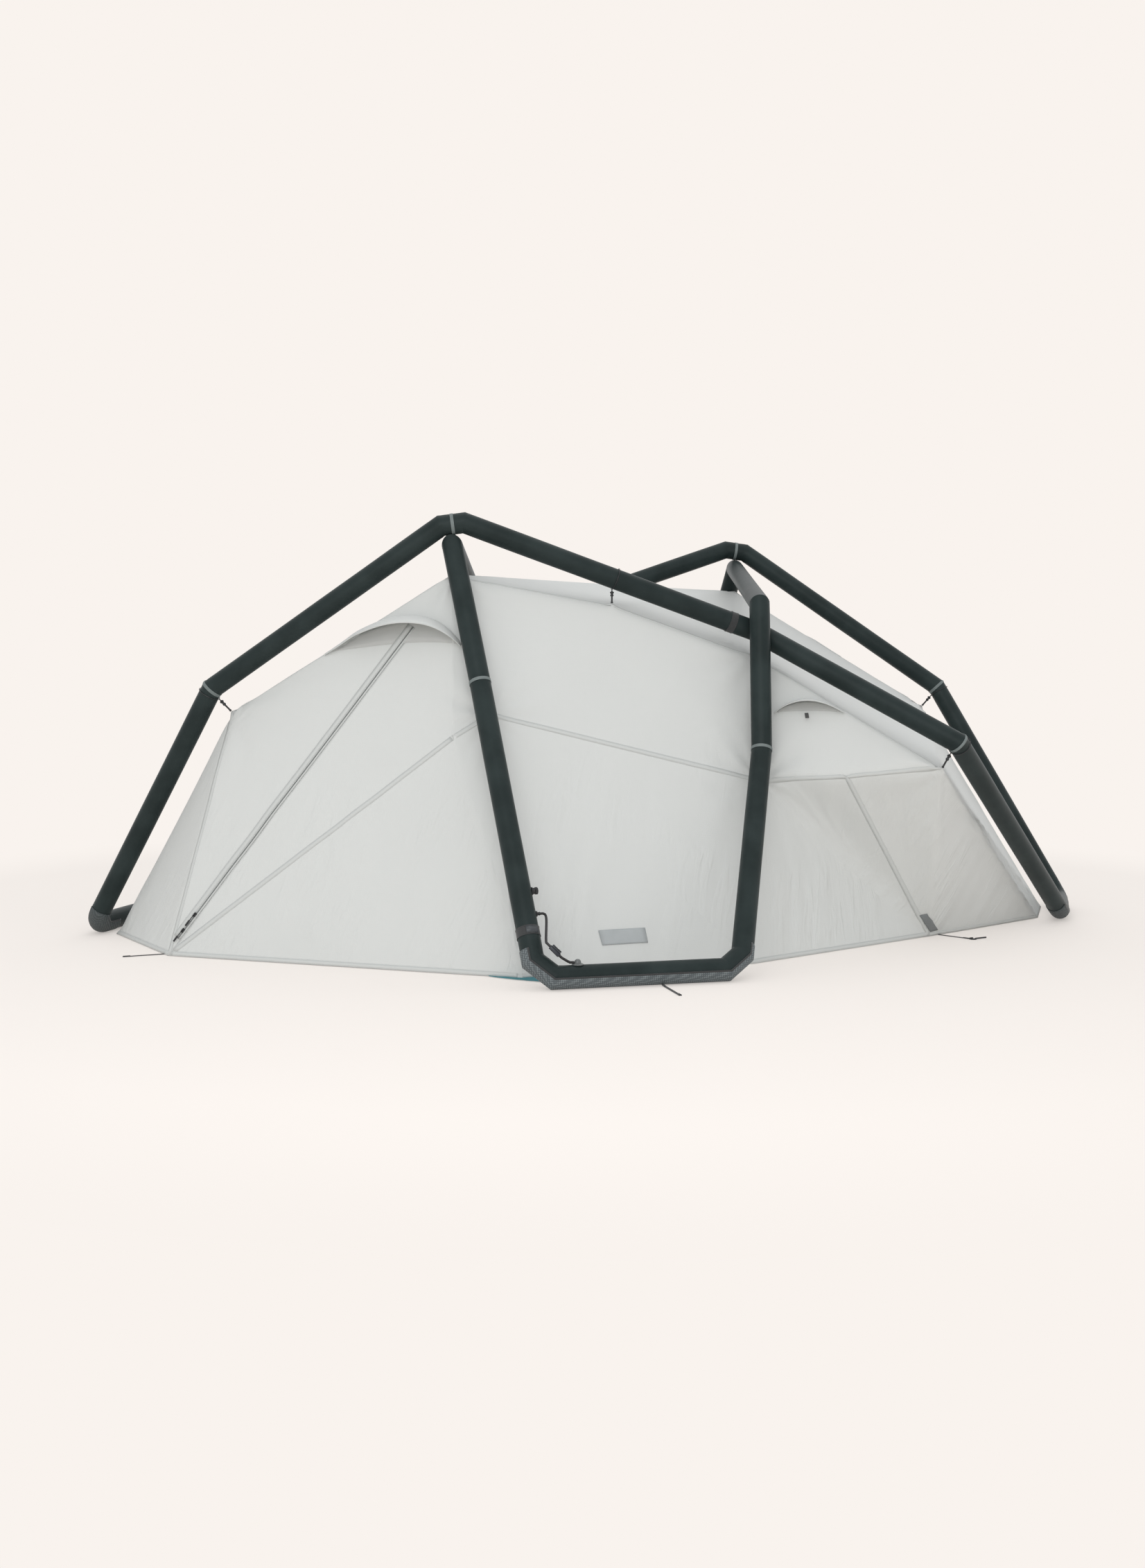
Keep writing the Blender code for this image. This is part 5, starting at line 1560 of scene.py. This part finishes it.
@dataclass
class Zips:
    """The door's zip: tape, coil, flap and the two sliders with their pulls."""

    finishes: Finishes
    surface: ClothSurface
    margin: float = 0.060
    top_margin: float = 0.020
    tape_width: float = 0.014
    coil_radius: float = 0.0013
    tooth_pitch: float = 0.0026
    tape_lift: float = 0.0013
    flap_lift: float = 0.0018
    coil_lift: float = 0.0022
    thickness: float = 0.0009
    shift: float = 0.0073
    flap_shift: float = 0.0125
    flap_width: float = 0.018
    lower_at: Vector = fixed(-1.40160, -0.59859, 0.07819)
    upper_at: Vector = fixed(-1.36543, -0.59685, 0.12603)
    way: Vector = fixed(0.60283, 0.02905, 0.79734)
    out: Vector = fixed(-0.43384, -0.82676, 0.35813)

    def slider(self, word: str, at: Vector, side: Side, body: str) -> None:
        """A slider with its waist and bridge, and a long ribbed pull."""
        shape = bmesh.new()
        here = placed(at, self.way, self.out)
        block(shape, (0.0155, 0.0095, 0.0042), here, 0.0012, pinch=0.18)
        bridge = ((-0.0055, 0.0016), (-0.0046, 0.0044), (0.0, 0.0056), (0.0046, 0.0044), (0.0055, 0.0016))
        rod(shape, [here @ Vector((x, 0.0, z)) for x, z in bridge], 0.0011, 10)
        bars = [(-0.020, 0.0034, (0.030, 0.0026, 0.0016), 0.0006, 3),
                (-0.033, 0.0034, (0.021, 0.0062, 0.0030), 0.0012, 3)]
        bars += [(-0.027 - 0.003 * k, 0.0050, (0.0010, 0.0050, 0.0008), 0.0003, 1) for k in range(5)]
        for x, z, size, edge, steps in bars:
            block(shape, size, here @ Matrix.Translation((x, 0.0, z)), edge, steps)
        turn_out(shape)
        add_piece(side.part(word + "_body"), shape, self.finishes.plastic, body, side,
                  side.part(word))

    def build(self) -> None:
        """Builds both doors' zips."""
        top, foot = cloth_line("zip_top", "hem_left")
        along = (top - foot).normalized()
        line = [foot + along * self.margin, top - along * self.top_margin]
        inward = towards(self.out.cross(self.way).normalized(), cloth_place("end_corner") - foot)
        middle, flap = [[place + inward * shift for place in line]
                        for shift in (self.shift, self.shift + self.flap_shift)]
        count = round((line[1] - line[0]).length / 0.012)
        spots = [self.surface.lay(line[0].lerp(line[1], k / count) + inward * self.shift, self.coil_lift)
                 for k in range(count + 1)]
        frames = Path(spots).frames(step=self.tooth_pitch / 2)

        def teeth(_: Vector, number: int) -> float:
            """Every second ring stands out."""
            return 0.0007 if number % 2 else -0.0003

        for side in Side:
            ribbon(self.surface, side.part("zip_cloth"), middle, self.tape_width, side, "tent",
                   self.tape_lift, self.thickness, replaced=side.part("zip_tape"))
            shape = bmesh.new()
            sweep(shape, ring(shape, self.coil_radius, 8, frames[0]), frames, teeth)
            outward(shape)
            add_piece(side.part("zip_coil"), shape, self.finishes.smoke, side=side)
            ribbon(self.surface, side.part("zip_flap"), flap, self.flap_width, side,
                   lift=self.flap_lift, thickness=self.thickness)
            self.slider("lower_slider", self.lower_at, side, "tent")
            self.slider("upper_slider", self.upper_at, side, side.part("zip_pull"))


@dataclass
class Hooks:
    """Cords and hooks that hang the fly from the tubes, and the toggles that hold the cabin."""

    finishes: Finishes
    frame: AirFrame
    loop_radius: float = 0.0013
    ties: tuple = (
        ("end_hook", (-1.30183, -0.39094, 0.78540), (-1.26490, -0.38519, 0.74640), 0),
        ("middle_hook", (-0.06336, -0.52913, 1.13735), (-0.06336, -0.52913, 1.09300), 4),
        ("crossing_hook", (0.40678, -0.49766, 0.97137), (0.40678, -0.49766, 0.93400), 5),
        ("side_hook", (0.95094, -0.83691, 0.63438), (0.92980, -0.82040, 0.58640), 6),
        ("inner_toggle", (-0.56769, -0.55548, 1.17850), (-0.50122, -0.42507, 1.07146), None),
    )

    def build(self) -> None:
        """Builds every hook at the front and turns copies to the rear."""
        arch = self.frame.arch()
        for side in Side:
            for node, start, end, run in self.ties:
                word = "cabin_toggle" if run is None else node + "_set"
                shape = bmesh.new()
                self.hook(shape, Vector(start), Vector(end))
                if run is not None:
                    self.loop(shape, Vector(start), arch[run], (arch[run + 1] - arch[run]).normalized())
                turn_out(shape)
                add_piece(side.part(word), shape, self.finishes.plastic, side=side,
                          replaced=side.part(node))

    def hook(self, shape: BMesh, start: Vector, end: Vector) -> None:
        """A short cord, a moulded hook body with two collars, and the eye on the cloth."""
        way = end - start
        length = way.length
        at = placed(start, way.orthogonal(), way)
        cord, body = 0.0017, 0.0062
        shares = ((0.0, 0.0), (0.0, cord), (0.14, cord), (0.16, body * 0.6), (0.20, body), (0.27, body),
                  (0.31, body * 0.62), (0.37, body * 0.62), (0.41, body * 0.86), (0.47, body * 0.86),
                  (0.52, cord * 1.7), (0.88, cord * 1.7), (0.91, cord * 2.2), (0.985, cord * 2.2),
                  (1.0, cord * 1.4), (1.0, 0.0))
        turned(shape, [(radius, length * share) for share, radius in shares], at, 20)

    def loop(self, shape: BMesh, start: Vector, on: Vector, run: Vector) -> None:
        """The thin cord that goes once round the tube."""
        centre = on + run * (start - on).dot(run)
        first = (start - centre) - run * (start - centre).dot(run)
        first = first.normalized() * (TUBE_RADIUS + self.loop_radius + 0.0010)
        points = [centre + Matrix.Rotation(math.tau * k / 28.0, 3, run) @ first for k in range(29)]
        rod(shape, points, self.loop_radius, 8)


@dataclass
class Bands:
    """Webbing bands round the arches and round the front left leg of the hoop."""

    finishes: Finishes
    frame: AirFrame
    thickness: float = 0.0012
    pad_from: float = 1.12
    pad_to: float = 2.27

    def band(self, name: str, start: Vector, end: Vector, side: Side, replaced: str) -> None:
        """One band with a raised edge on each rim."""
        way = (end - start).normalized() * 0.0025
        radius = TUBE_RADIUS + SEAT
        shape = bmesh.new()
        sleeve(shape, Path([start, end]), radius, self.thickness)
        for rim in ([start, start + way], [end - way, end]):
            sleeve(shape, Path(rim), radius + self.thickness, 0.0005)
        add_piece(name, shape, self.finishes.webbing, side=side, replaced=replaced)

    def build(self) -> None:
        """Builds the three bands."""
        crossing = node_place("crossing")
        way = (crossing - self.frame.arch()[4]).normalized()
        start = crossing - way * (TUBE_RADIUS * 2.2)
        for side in Side:
            self.band(side.part("crossing_webbing"), start - way * 0.022, start, side,
                      side.part("crossing_band"))
        bend, corner = node_place("hoop_bend_left"), node_place("corner_left")
        leg = (corner - bend).normalized()
        middle = bend.lerp(corner, 0.86)
        self.band("leg_webbing", middle - leg * 0.014, middle + leg * 0.014, Side.FRONT, "leg_band")
        self.pad(middle - leg * 0.011, middle + leg * 0.011)

    def pad(self, start: Vector, end: Vector) -> None:
        """The smooth grey pad on the front of the leg's band."""
        frames = Path([start, end]).frames()
        shape = bmesh.new()
        radius = TUBE_RADIUS + SEAT + self.thickness + 0.0006
        sweep(shape, arc(shape, radius, self.pad_from, self.pad_to, 16, frames[0]), frames, None, False)
        orient(shape, lambda place: place - start)
        thicken(add_piece("leg_pad", shape, self.finishes.pad), 0.0010)


@dataclass
class Fittings:
    """The inflation valve, the hose with its clamp and the domed fitting."""

    finishes: Finishes
    inner: Vector = fixed(0.98350, 0.17619, 0.04107)
    valve_at: Vector = fixed(-0.37302, -1.10921, 0.25724)
    cap_at: Vector = fixed(-0.36289, -1.10739, 0.25767)
    elbow_at: Vector = fixed(-0.36384, -1.14648, 0.19732)
    dome_at: Vector = fixed(-0.25463, -1.23524, 0.06681)
    clamp_at: Vector = fixed(-0.31988, -1.24518, 0.10801)
    lever_at: Vector = fixed(-0.31328, -1.24445, 0.11451)
    clamp_way: Vector = fixed(0.70313, -0.13163, -0.69877)
    clamp_up: Vector = fixed(0.71008, 0.07831, 0.69976)
    leg: Vector = field(default_factory=lambda: (node_place("corner_left")
                                                 - node_place("hoop_bend_left")).normalized())
    ground: Vector = fixed(0.98862, 0.15045, 0.0)
    hose: float = 0.0075
    hose_steps: int = 40
    elbow_height: float = 0.013

    def round_piece(self, name: str, profile: Sequence[tuple[float, float]], at: Matrix,
                    finish: Material, replaced: str, body: str = "tent", rib: float = 0.0,
                    rows: Sequence[int] = ()) -> None:
        """One turned fitting."""
        shape = bmesh.new()
        turned(shape, profile, at, 72 if rib else 48, rib, rows)
        turn_out(shape)
        add_piece(name, shape, finish, body, replaced=replaced, smooth_angle=32.0)

    def hoses(self) -> None:
        """Both lengths of hose, as cords that go back into the tent's fittings."""
        r = self.hose / 2
        start = self.elbow_at + self.inner * 0.0133
        enter = self.clamp_at - self.clamp_way * 0.0183
        bow = start + self.inner * (r * 4) + self.leg * (r * 4)
        upper = [start, start + self.inner * r * 2, bow, enter - self.clamp_way * r * 4, enter]
        leave = self.clamp_at + self.clamp_way * 0.0183
        end = self.dome_at + UP * (0.0033 + r) - self.ground * 0.0103
        lower = [leave, leave + self.clamp_way * r * 2, end - self.ground * r * 3, end]
        for word, knots in (("upper", upper), ("lower", lower)):
            route = smooth_route(knots, self.hose_steps)
            curve = bpy.data.curves.new(word + "_hose_line", "CURVE")
            curve.dimensions = "3D"
            curve.bevel_depth = r
            curve.bevel_resolution = 5
            curve.use_fill_caps = True
            spline = curve.splines.new("POLY")
            spline.points.add(len(route) - 1)
            for point, place in zip(spline.points, route):
                point.co = (*place, 1.0)
            spline.use_smooth = True
            made = add_object(word + "_hose_line", curve)
            curve.materials.append(self.finishes.rubber)
            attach(made, "tent")
            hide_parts(word + "_hose")
            length = sum((b - a).length for a, b in zip(route, route[1:]))

    def clamp(self) -> None:
        """The clamp's body with its side rails, and its ribbed lever."""
        navy = self.finishes.navy
        at = placed(self.clamp_at, self.clamp_way, self.clamp_up)
        shape = bmesh.new()
        block(shape, (0.0355, 0.0195, 0.0105), at @ Matrix.Translation((0.0, 0.0, -0.0016)), 0.0022)
        for sign in (-1, 1):
            rail = Matrix.Translation((0.0, sign * 0.0082, 0.0052))
            block(shape, (0.030, 0.0030, 0.0034), at @ rail, 0.0008)
        profile = [(0.0, -0.002), (0.0054, -0.002), (0.0060, 0.0), (0.0054, 0.002), (0.0, 0.002)]
        for sign in (-1, 1):
            collar = Matrix.Translation((sign * 0.0158, 0.0, 0.0)) @ Matrix.Rotation(math.pi / 2, 4, "Y")
            turned(shape, profile, at @ collar, 28)
        turn_out(shape)
        add_piece("clamp_housing", shape, navy, replaced="clamp_body")
        at = placed(self.lever_at, self.clamp_way, self.clamp_up)
        shape = bmesh.new()
        block(shape, (0.0306, 0.0118, 0.0036), at, 0.0012)
        for k in range(5):
            rib = Matrix.Translation((0.004 + 0.0023 * k, 0.0, 0.0021))
            block(shape, (0.0011, 0.0090, 0.0012), at @ rib, 0.0004, 2)
        turn_out(shape)
        add_piece("clamp_thumb_lever", shape, navy, "clamp_arm", replaced="clamp_lever")

    def build(self) -> None:
        """Builds every fitting."""
        self.hoses()
        across = self.inner.orthogonal()
        plastic = self.finishes.plastic
        valve = [(0.0, 0.010), (0.0082, 0.010), (0.0092, 0.0092), (0.0092, 0.0048), (0.0108, 0.0038),
                 (0.0115, 0.0028), (0.0115, 0.0), (0.0, 0.0)]
        cap = [(0.0, 0.0082), (0.0048, 0.0082), (0.0052, 0.0090), (0.0074, 0.0090), (0.0096, 0.0078),
               (0.0105, 0.0066), (0.0105, 0.0010), (0.0098, 0.0), (0.0, 0.0)]
        elbow = [(0.0, 1.0), (0.0044, 1.0), (0.0051, 0.94), (0.0051, 0.70), (0.0046, 0.66), (0.0046, 0.52),
                 (0.0053, 0.46), (0.0070, 0.30), (0.0085, 0.22), (0.0085, 0.0), (0.0, 0.0)]
        elbow = [(radius, share * self.elbow_height) for radius, share in elbow]
        rows = (("valve_seat", valve, self.valve_at, "valve_body"),
                ("valve_screw_cap", cap, self.cap_at, "valve_cap", "screw_cap", 0.0007, (5, 6)),
                ("hose_socket", elbow, self.elbow_at, "hose_fitting"))
        for name, profile, place, *rest in rows:
            self.round_piece(name, profile, placed(place, across, self.inner), plastic, *rest)
        dome = [(0.0, 0.0160), (0.0032, 0.0157), (0.0060, 0.0144), (0.0082, 0.0118), (0.0094, 0.0080),
                (0.0098, 0.0044), (0.0112, 0.0034), (0.0150, 0.0030), (0.0168, 0.0020), (0.0170, 0.0),
                (0.0, 0.0)]
        at = placed(self.dome_at, Vector((1.0, 0.0, 0.0)), UP)
        self.round_piece("dome_cover", dome, at, self.finishes.smoke, "dome_fitting")
        self.clamp()


@dataclass
class Straps:
    """Peg straps sewn to the cloth and the guards, with the pegs' wire hooks."""

    finishes: Finishes
    width: float = 0.009
    thickness: float = 0.0016
    routes: dict = field(default_factory=lambda: {
        "corner_strap": ((-1.44219, -0.56469, 0.04607), (-1.45261, -0.56791, 0.01281),
                         (-1.45720, -0.56933, 0.00110), (-1.58140, -0.60772, 0.00110)),
        "side_strap": ((1.05939, -0.42816, 0.04364), (1.05122, -0.41836, 0.01105),
                       (1.05430, -0.42205, 0.00110), (1.13748, -0.52195, 0.00110)),
        "hoop_strap": ((-0.01100, -1.21800, 0.00450), (-0.00950, -1.22500, 0.00200),
                       (-0.00714, -1.23824, 0.00110), (0.01242, -1.36676, 0.00110)),
    })

    def build(self) -> None:
        """Builds the straps and the hooks of both sides."""
        for side in Side:
            for word, points in self.routes.items():
                route = [Vector(point) for point in points]
                level = (route[3] - route[2]).normalized()
                route[1] = route[1].lerp(route[0], 0.02)
                frames = Path(route, 2).frames((0.003, 0.008), 0.02)
                shape = bmesh.new()
                sweep(shape, strip(shape, self.width, self.thickness, frames[0]), frames)
                fold = placed(route[3] - level * 0.012 + UP * 0.0013, level, UP)
                block(shape, (0.022, self.width * 0.96, 0.0014), fold, 0.0005, 2)
                self.map_webbing(shape, route[2], level)
                turn_out(shape)
                add_piece(side.part(word + "_webbing"), shape, self.finishes.webbing,
                          side=side, replaced=side.part(word))
            self.peg(side)

    def map_webbing(self, shape: BMesh, start: Vector, level: Vector) -> None:
        """Adds a map that runs across the strap and along it."""
        across = level.cross(UP)
        map_cloth(shape, lambda v: ((v.co - start).dot(across) / self.width + 0.5,
                                    (v.co - start).dot(level) + v.co.z - start.z))

    def peg(self, side: Side) -> None:
        """The bent wire hook that lies at the side strap's end."""
        wire, bend, shank = 0.0025, 0.011, 0.045
        start, end = [Vector(point) for point in self.routes["side_strap"][2:]]
        level = (end - start).normalized()
        across = level.cross(UP)
        centre = Vector((*(end + level * (wire + SEAT)).xy, wire + SEAT)) + level * bend
        turns = [math.pi * (1.35 - k * 0.2125 / 3) for k in range(25)]
        route = [centre + level * (bend * math.cos(turn)) + across * (bend * math.sin(turn))
                 for turn in turns]
        way = (route[-1] - route[-2]).normalized()
        route.append(route[-1] + (way + level).normalized() * shank)
        shape = bmesh.new()
        rod(shape, route, wire, 14)
        outward(shape)
        add_piece(side.part("side_peg_wire"), shape, self.finishes.plastic, side=side,
                  replaced=side.part("side_peg"))


@dataclass
class Cabin:
    """The sleeping cabin that hangs inside the fly, and its floor tub."""

    finishes: Finishes
    length_share: float = 0.88
    width_share: float = 0.76
    peak_height: float = 1.0709
    tub_wall: float = 0.120
    seam_gap: float = 0.0012
    tub_foot: float = 0.96
    tub_floor: float = 0.004
    cuts: int = 9

    def place(self, name: str) -> Vector:
        """A corner of the fly drawn in to the cabin."""
        point = cloth_place(name)
        foot = self.tub_wall + self.seam_gap
        rise = (self.peak_height - foot) / (cloth_place("peak").z - HEM)
        return Vector((point.x * self.length_share, point.y * self.width_share,
                       foot + (point.z - HEM) * rise))

    def build(self) -> None:
        """Builds the cabin and its tub."""
        cloth = bmesh.new()
        for rear in (False, True):
            for a, b, c, _ in PANELS + DOOR_PANELS:
                names = [other_half(name) if rear else name for name in (a, b, c)]
                cloth.faces.new([cloth.verts.new(self.place(name)) for name in names])
        bmesh.ops.remove_doubles(cloth, verts=cloth.verts, dist=0.0002)
        flat = sum(face.calc_area() for face in cloth.faces)
        bmesh.ops.subdivide_edges(cloth, edges=cloth.edges[:], cuts=self.cuts, use_grid_fill=True)
        bmesh.ops.triangulate(cloth, faces=cloth.faces[:])
        peaks = [self.place(name) for name in ("peak", "rear_peak")]
        loose = [v for v in cloth.verts if not v.is_boundary
                 and min((v.co - peak).length for peak in peaks) > 0.01]
        ease(cloth, loose, 4)
        turn_out(cloth)
        made = add_piece("cabin_cloth", cloth, self.finishes.cabin, replaced="inner_tent",
                         smooth_angle=CLOTH_ANGLE)
        thicken(made, 0.0009)
        self.tub()

    def tub(self) -> None:
        """The floor tub: a soft tray whose walls lean out to the cabin's hem."""
        rim = ["hem_foot", "hem_left", "hem_door", "hem_front", "hem_right", "hem_heel"]
        rim += [other_half(name) for name in rim]
        corners = [self.place(name).xy * self.tub_foot for name in rim]
        shape = bmesh.new()
        bottom = shape.faces.new([shape.verts.new((x, y, self.tub_floor)) for x, y in corners])
        grown = bmesh.ops.extrude_edge_only(shape, edges=bottom.edges[:])["geom"]
        for v in [g for g in grown if isinstance(g, BMVert)]:
            v.co = Vector((v.co.x / self.tub_foot, v.co.y / self.tub_foot, self.tub_wall))
        flat = sum(face.calc_area() for face in shape.faces)
        bmesh.ops.triangulate(shape, faces=[bottom])
        bmesh.ops.subdivide_edges(shape, edges=shape.edges[:], cuts=11, use_grid_fill=True)
        bmesh.ops.triangulate(shape, faces=shape.faces[:])
        for v in [v for v in shape.verts if not v.is_boundary and v.co.z > self.tub_floor + 0.001]:
            v.co += Vector((v.co.x, v.co.y, 0.0)).normalized() * (0.002 * noise.noise(v.co * 9.0))
        orient(shape, lambda _: -UP, -1)
        made = add_piece("floor_tub_cloth", shape, self.finishes.tub, replaced="floor_tub",
                         smooth_angle=50.0)
        thicken(made, FLY_THICKNESS)


@dataclass
class BarePatches:
    """Plain sewn patches on the fly, which stay bare, and the groundsheet's edge at the door."""

    finishes: Finishes
    surface: ClothSurface
    camera: PhotoCamera
    corners: dict = field(default_factory=lambda: {
        "front_patch": ((862.9, 1342.5), (930.2, 1338.5), (934.5, 1360.1), (868.9, 1364.1)),
        "side_patch": ((1326.4, 1320.2), (1337.9, 1317.9), (1352.8, 1340.9), (1341.7, 1343.9)),
    })
    apron_height: float = 0.0020
    thickness: float = 0.0008

    def build(self) -> None:
        """Lays each patch where the photograph shows it, and sews a copy at the rear."""
        finishes = {"front_patch": self.finishes.patch, "side_patch": self.finishes.loop}
        for word, marks in self.corners.items():
            eye = self.camera.place
            hits = [self.surface.hit(eye, self.camera.ray(*mark), PATCH_LIFT) for mark in marks]
            if any(hit is None for hit in hits):
                LOG.warning("%s misses the cloth", word)
                continue
            shape = bmesh.new()
            face = shape.faces.new([shape.verts.new(hit) for hit in hits])
            bmesh.ops.subdivide_edges(shape, edges=face.edges[:], cuts=7, use_grid_fill=True)
            for v in shape.verts:
                v.co = self.surface.lay(v.co, PATCH_LIFT)
            orient(shape, self.surface.normal)
            for side, name in ((Side.FRONT, word), (Side.REAR, "rear_" + word)):
                made = add_piece(name, shape.copy(), finishes[word], side=side)
                thicken(made, self.thickness)
            shape.free()
        self.apron()

    def apron(self) -> None:
        """The toe of the groundsheet that shows under the door's hem beside the hoop's foot."""
        inner = ((-0.490, -1.028), (-0.440, -1.046), (-0.400, -1.062), (-0.350, -1.055))
        outer = ((-0.488, -1.040), (-0.444, -1.078), (-0.404, -1.104), (-0.345, -1.138))
        shape = bmesh.new()
        rows = [[shape.verts.new((x, y, self.apron_height)) for x, y in row] for row in (inner, outer)]
        for k in range(3):
            shape.faces.new((rows[0][k], rows[0][k + 1], rows[1][k + 1], rows[1][k]))
        bmesh.ops.subdivide_edges(shape, edges=shape.edges[:], cuts=9, use_grid_fill=True)
        for v in shape.verts:
            v.co.z += 0.0008 * noise.noise(v.co * 40.0)
        area = sum(face.calc_area() for face in shape.faces)
        orient(shape, lambda _: UP)
        for side in Side:
            made = add_piece(side.part("groundsheet_toe"), shape.copy(), self.finishes.tub,
                             side=side)
            thicken(made, self.thickness)
        shape.free()


def main() -> None:
    """Builds the studio and every piece of the tent in order."""
    logging.basicConfig(level=logging.INFO, format="%(message)s")
    bpy.context.scene.view_settings.view_transform = "Standard"
    camera, finishes = PhotoCamera(), Finishes()
    tubes, fly = AirFrame(finishes), Fly(finishes)
    for part in (camera, Fittings(finishes), Studio(), tubes, GroundGuards(finishes, tubes)):
        part.build()
        LOG.info("%s made", type(part).__name__)
    surface = fly.build()
    fly.seams(surface)
    LOG.info("Fly with its doors and seams made")
    for part in (Hoods(finishes, surface), Zips(finishes, surface), Hooks(finishes, tubes),
                 Bands(finishes, tubes), Cabin(finishes), Straps(finishes),
                 BarePatches(finishes, surface, camera)):
        part.build()
        LOG.info("%s made", type(part).__name__)


if __name__ == "__main__":
    main()
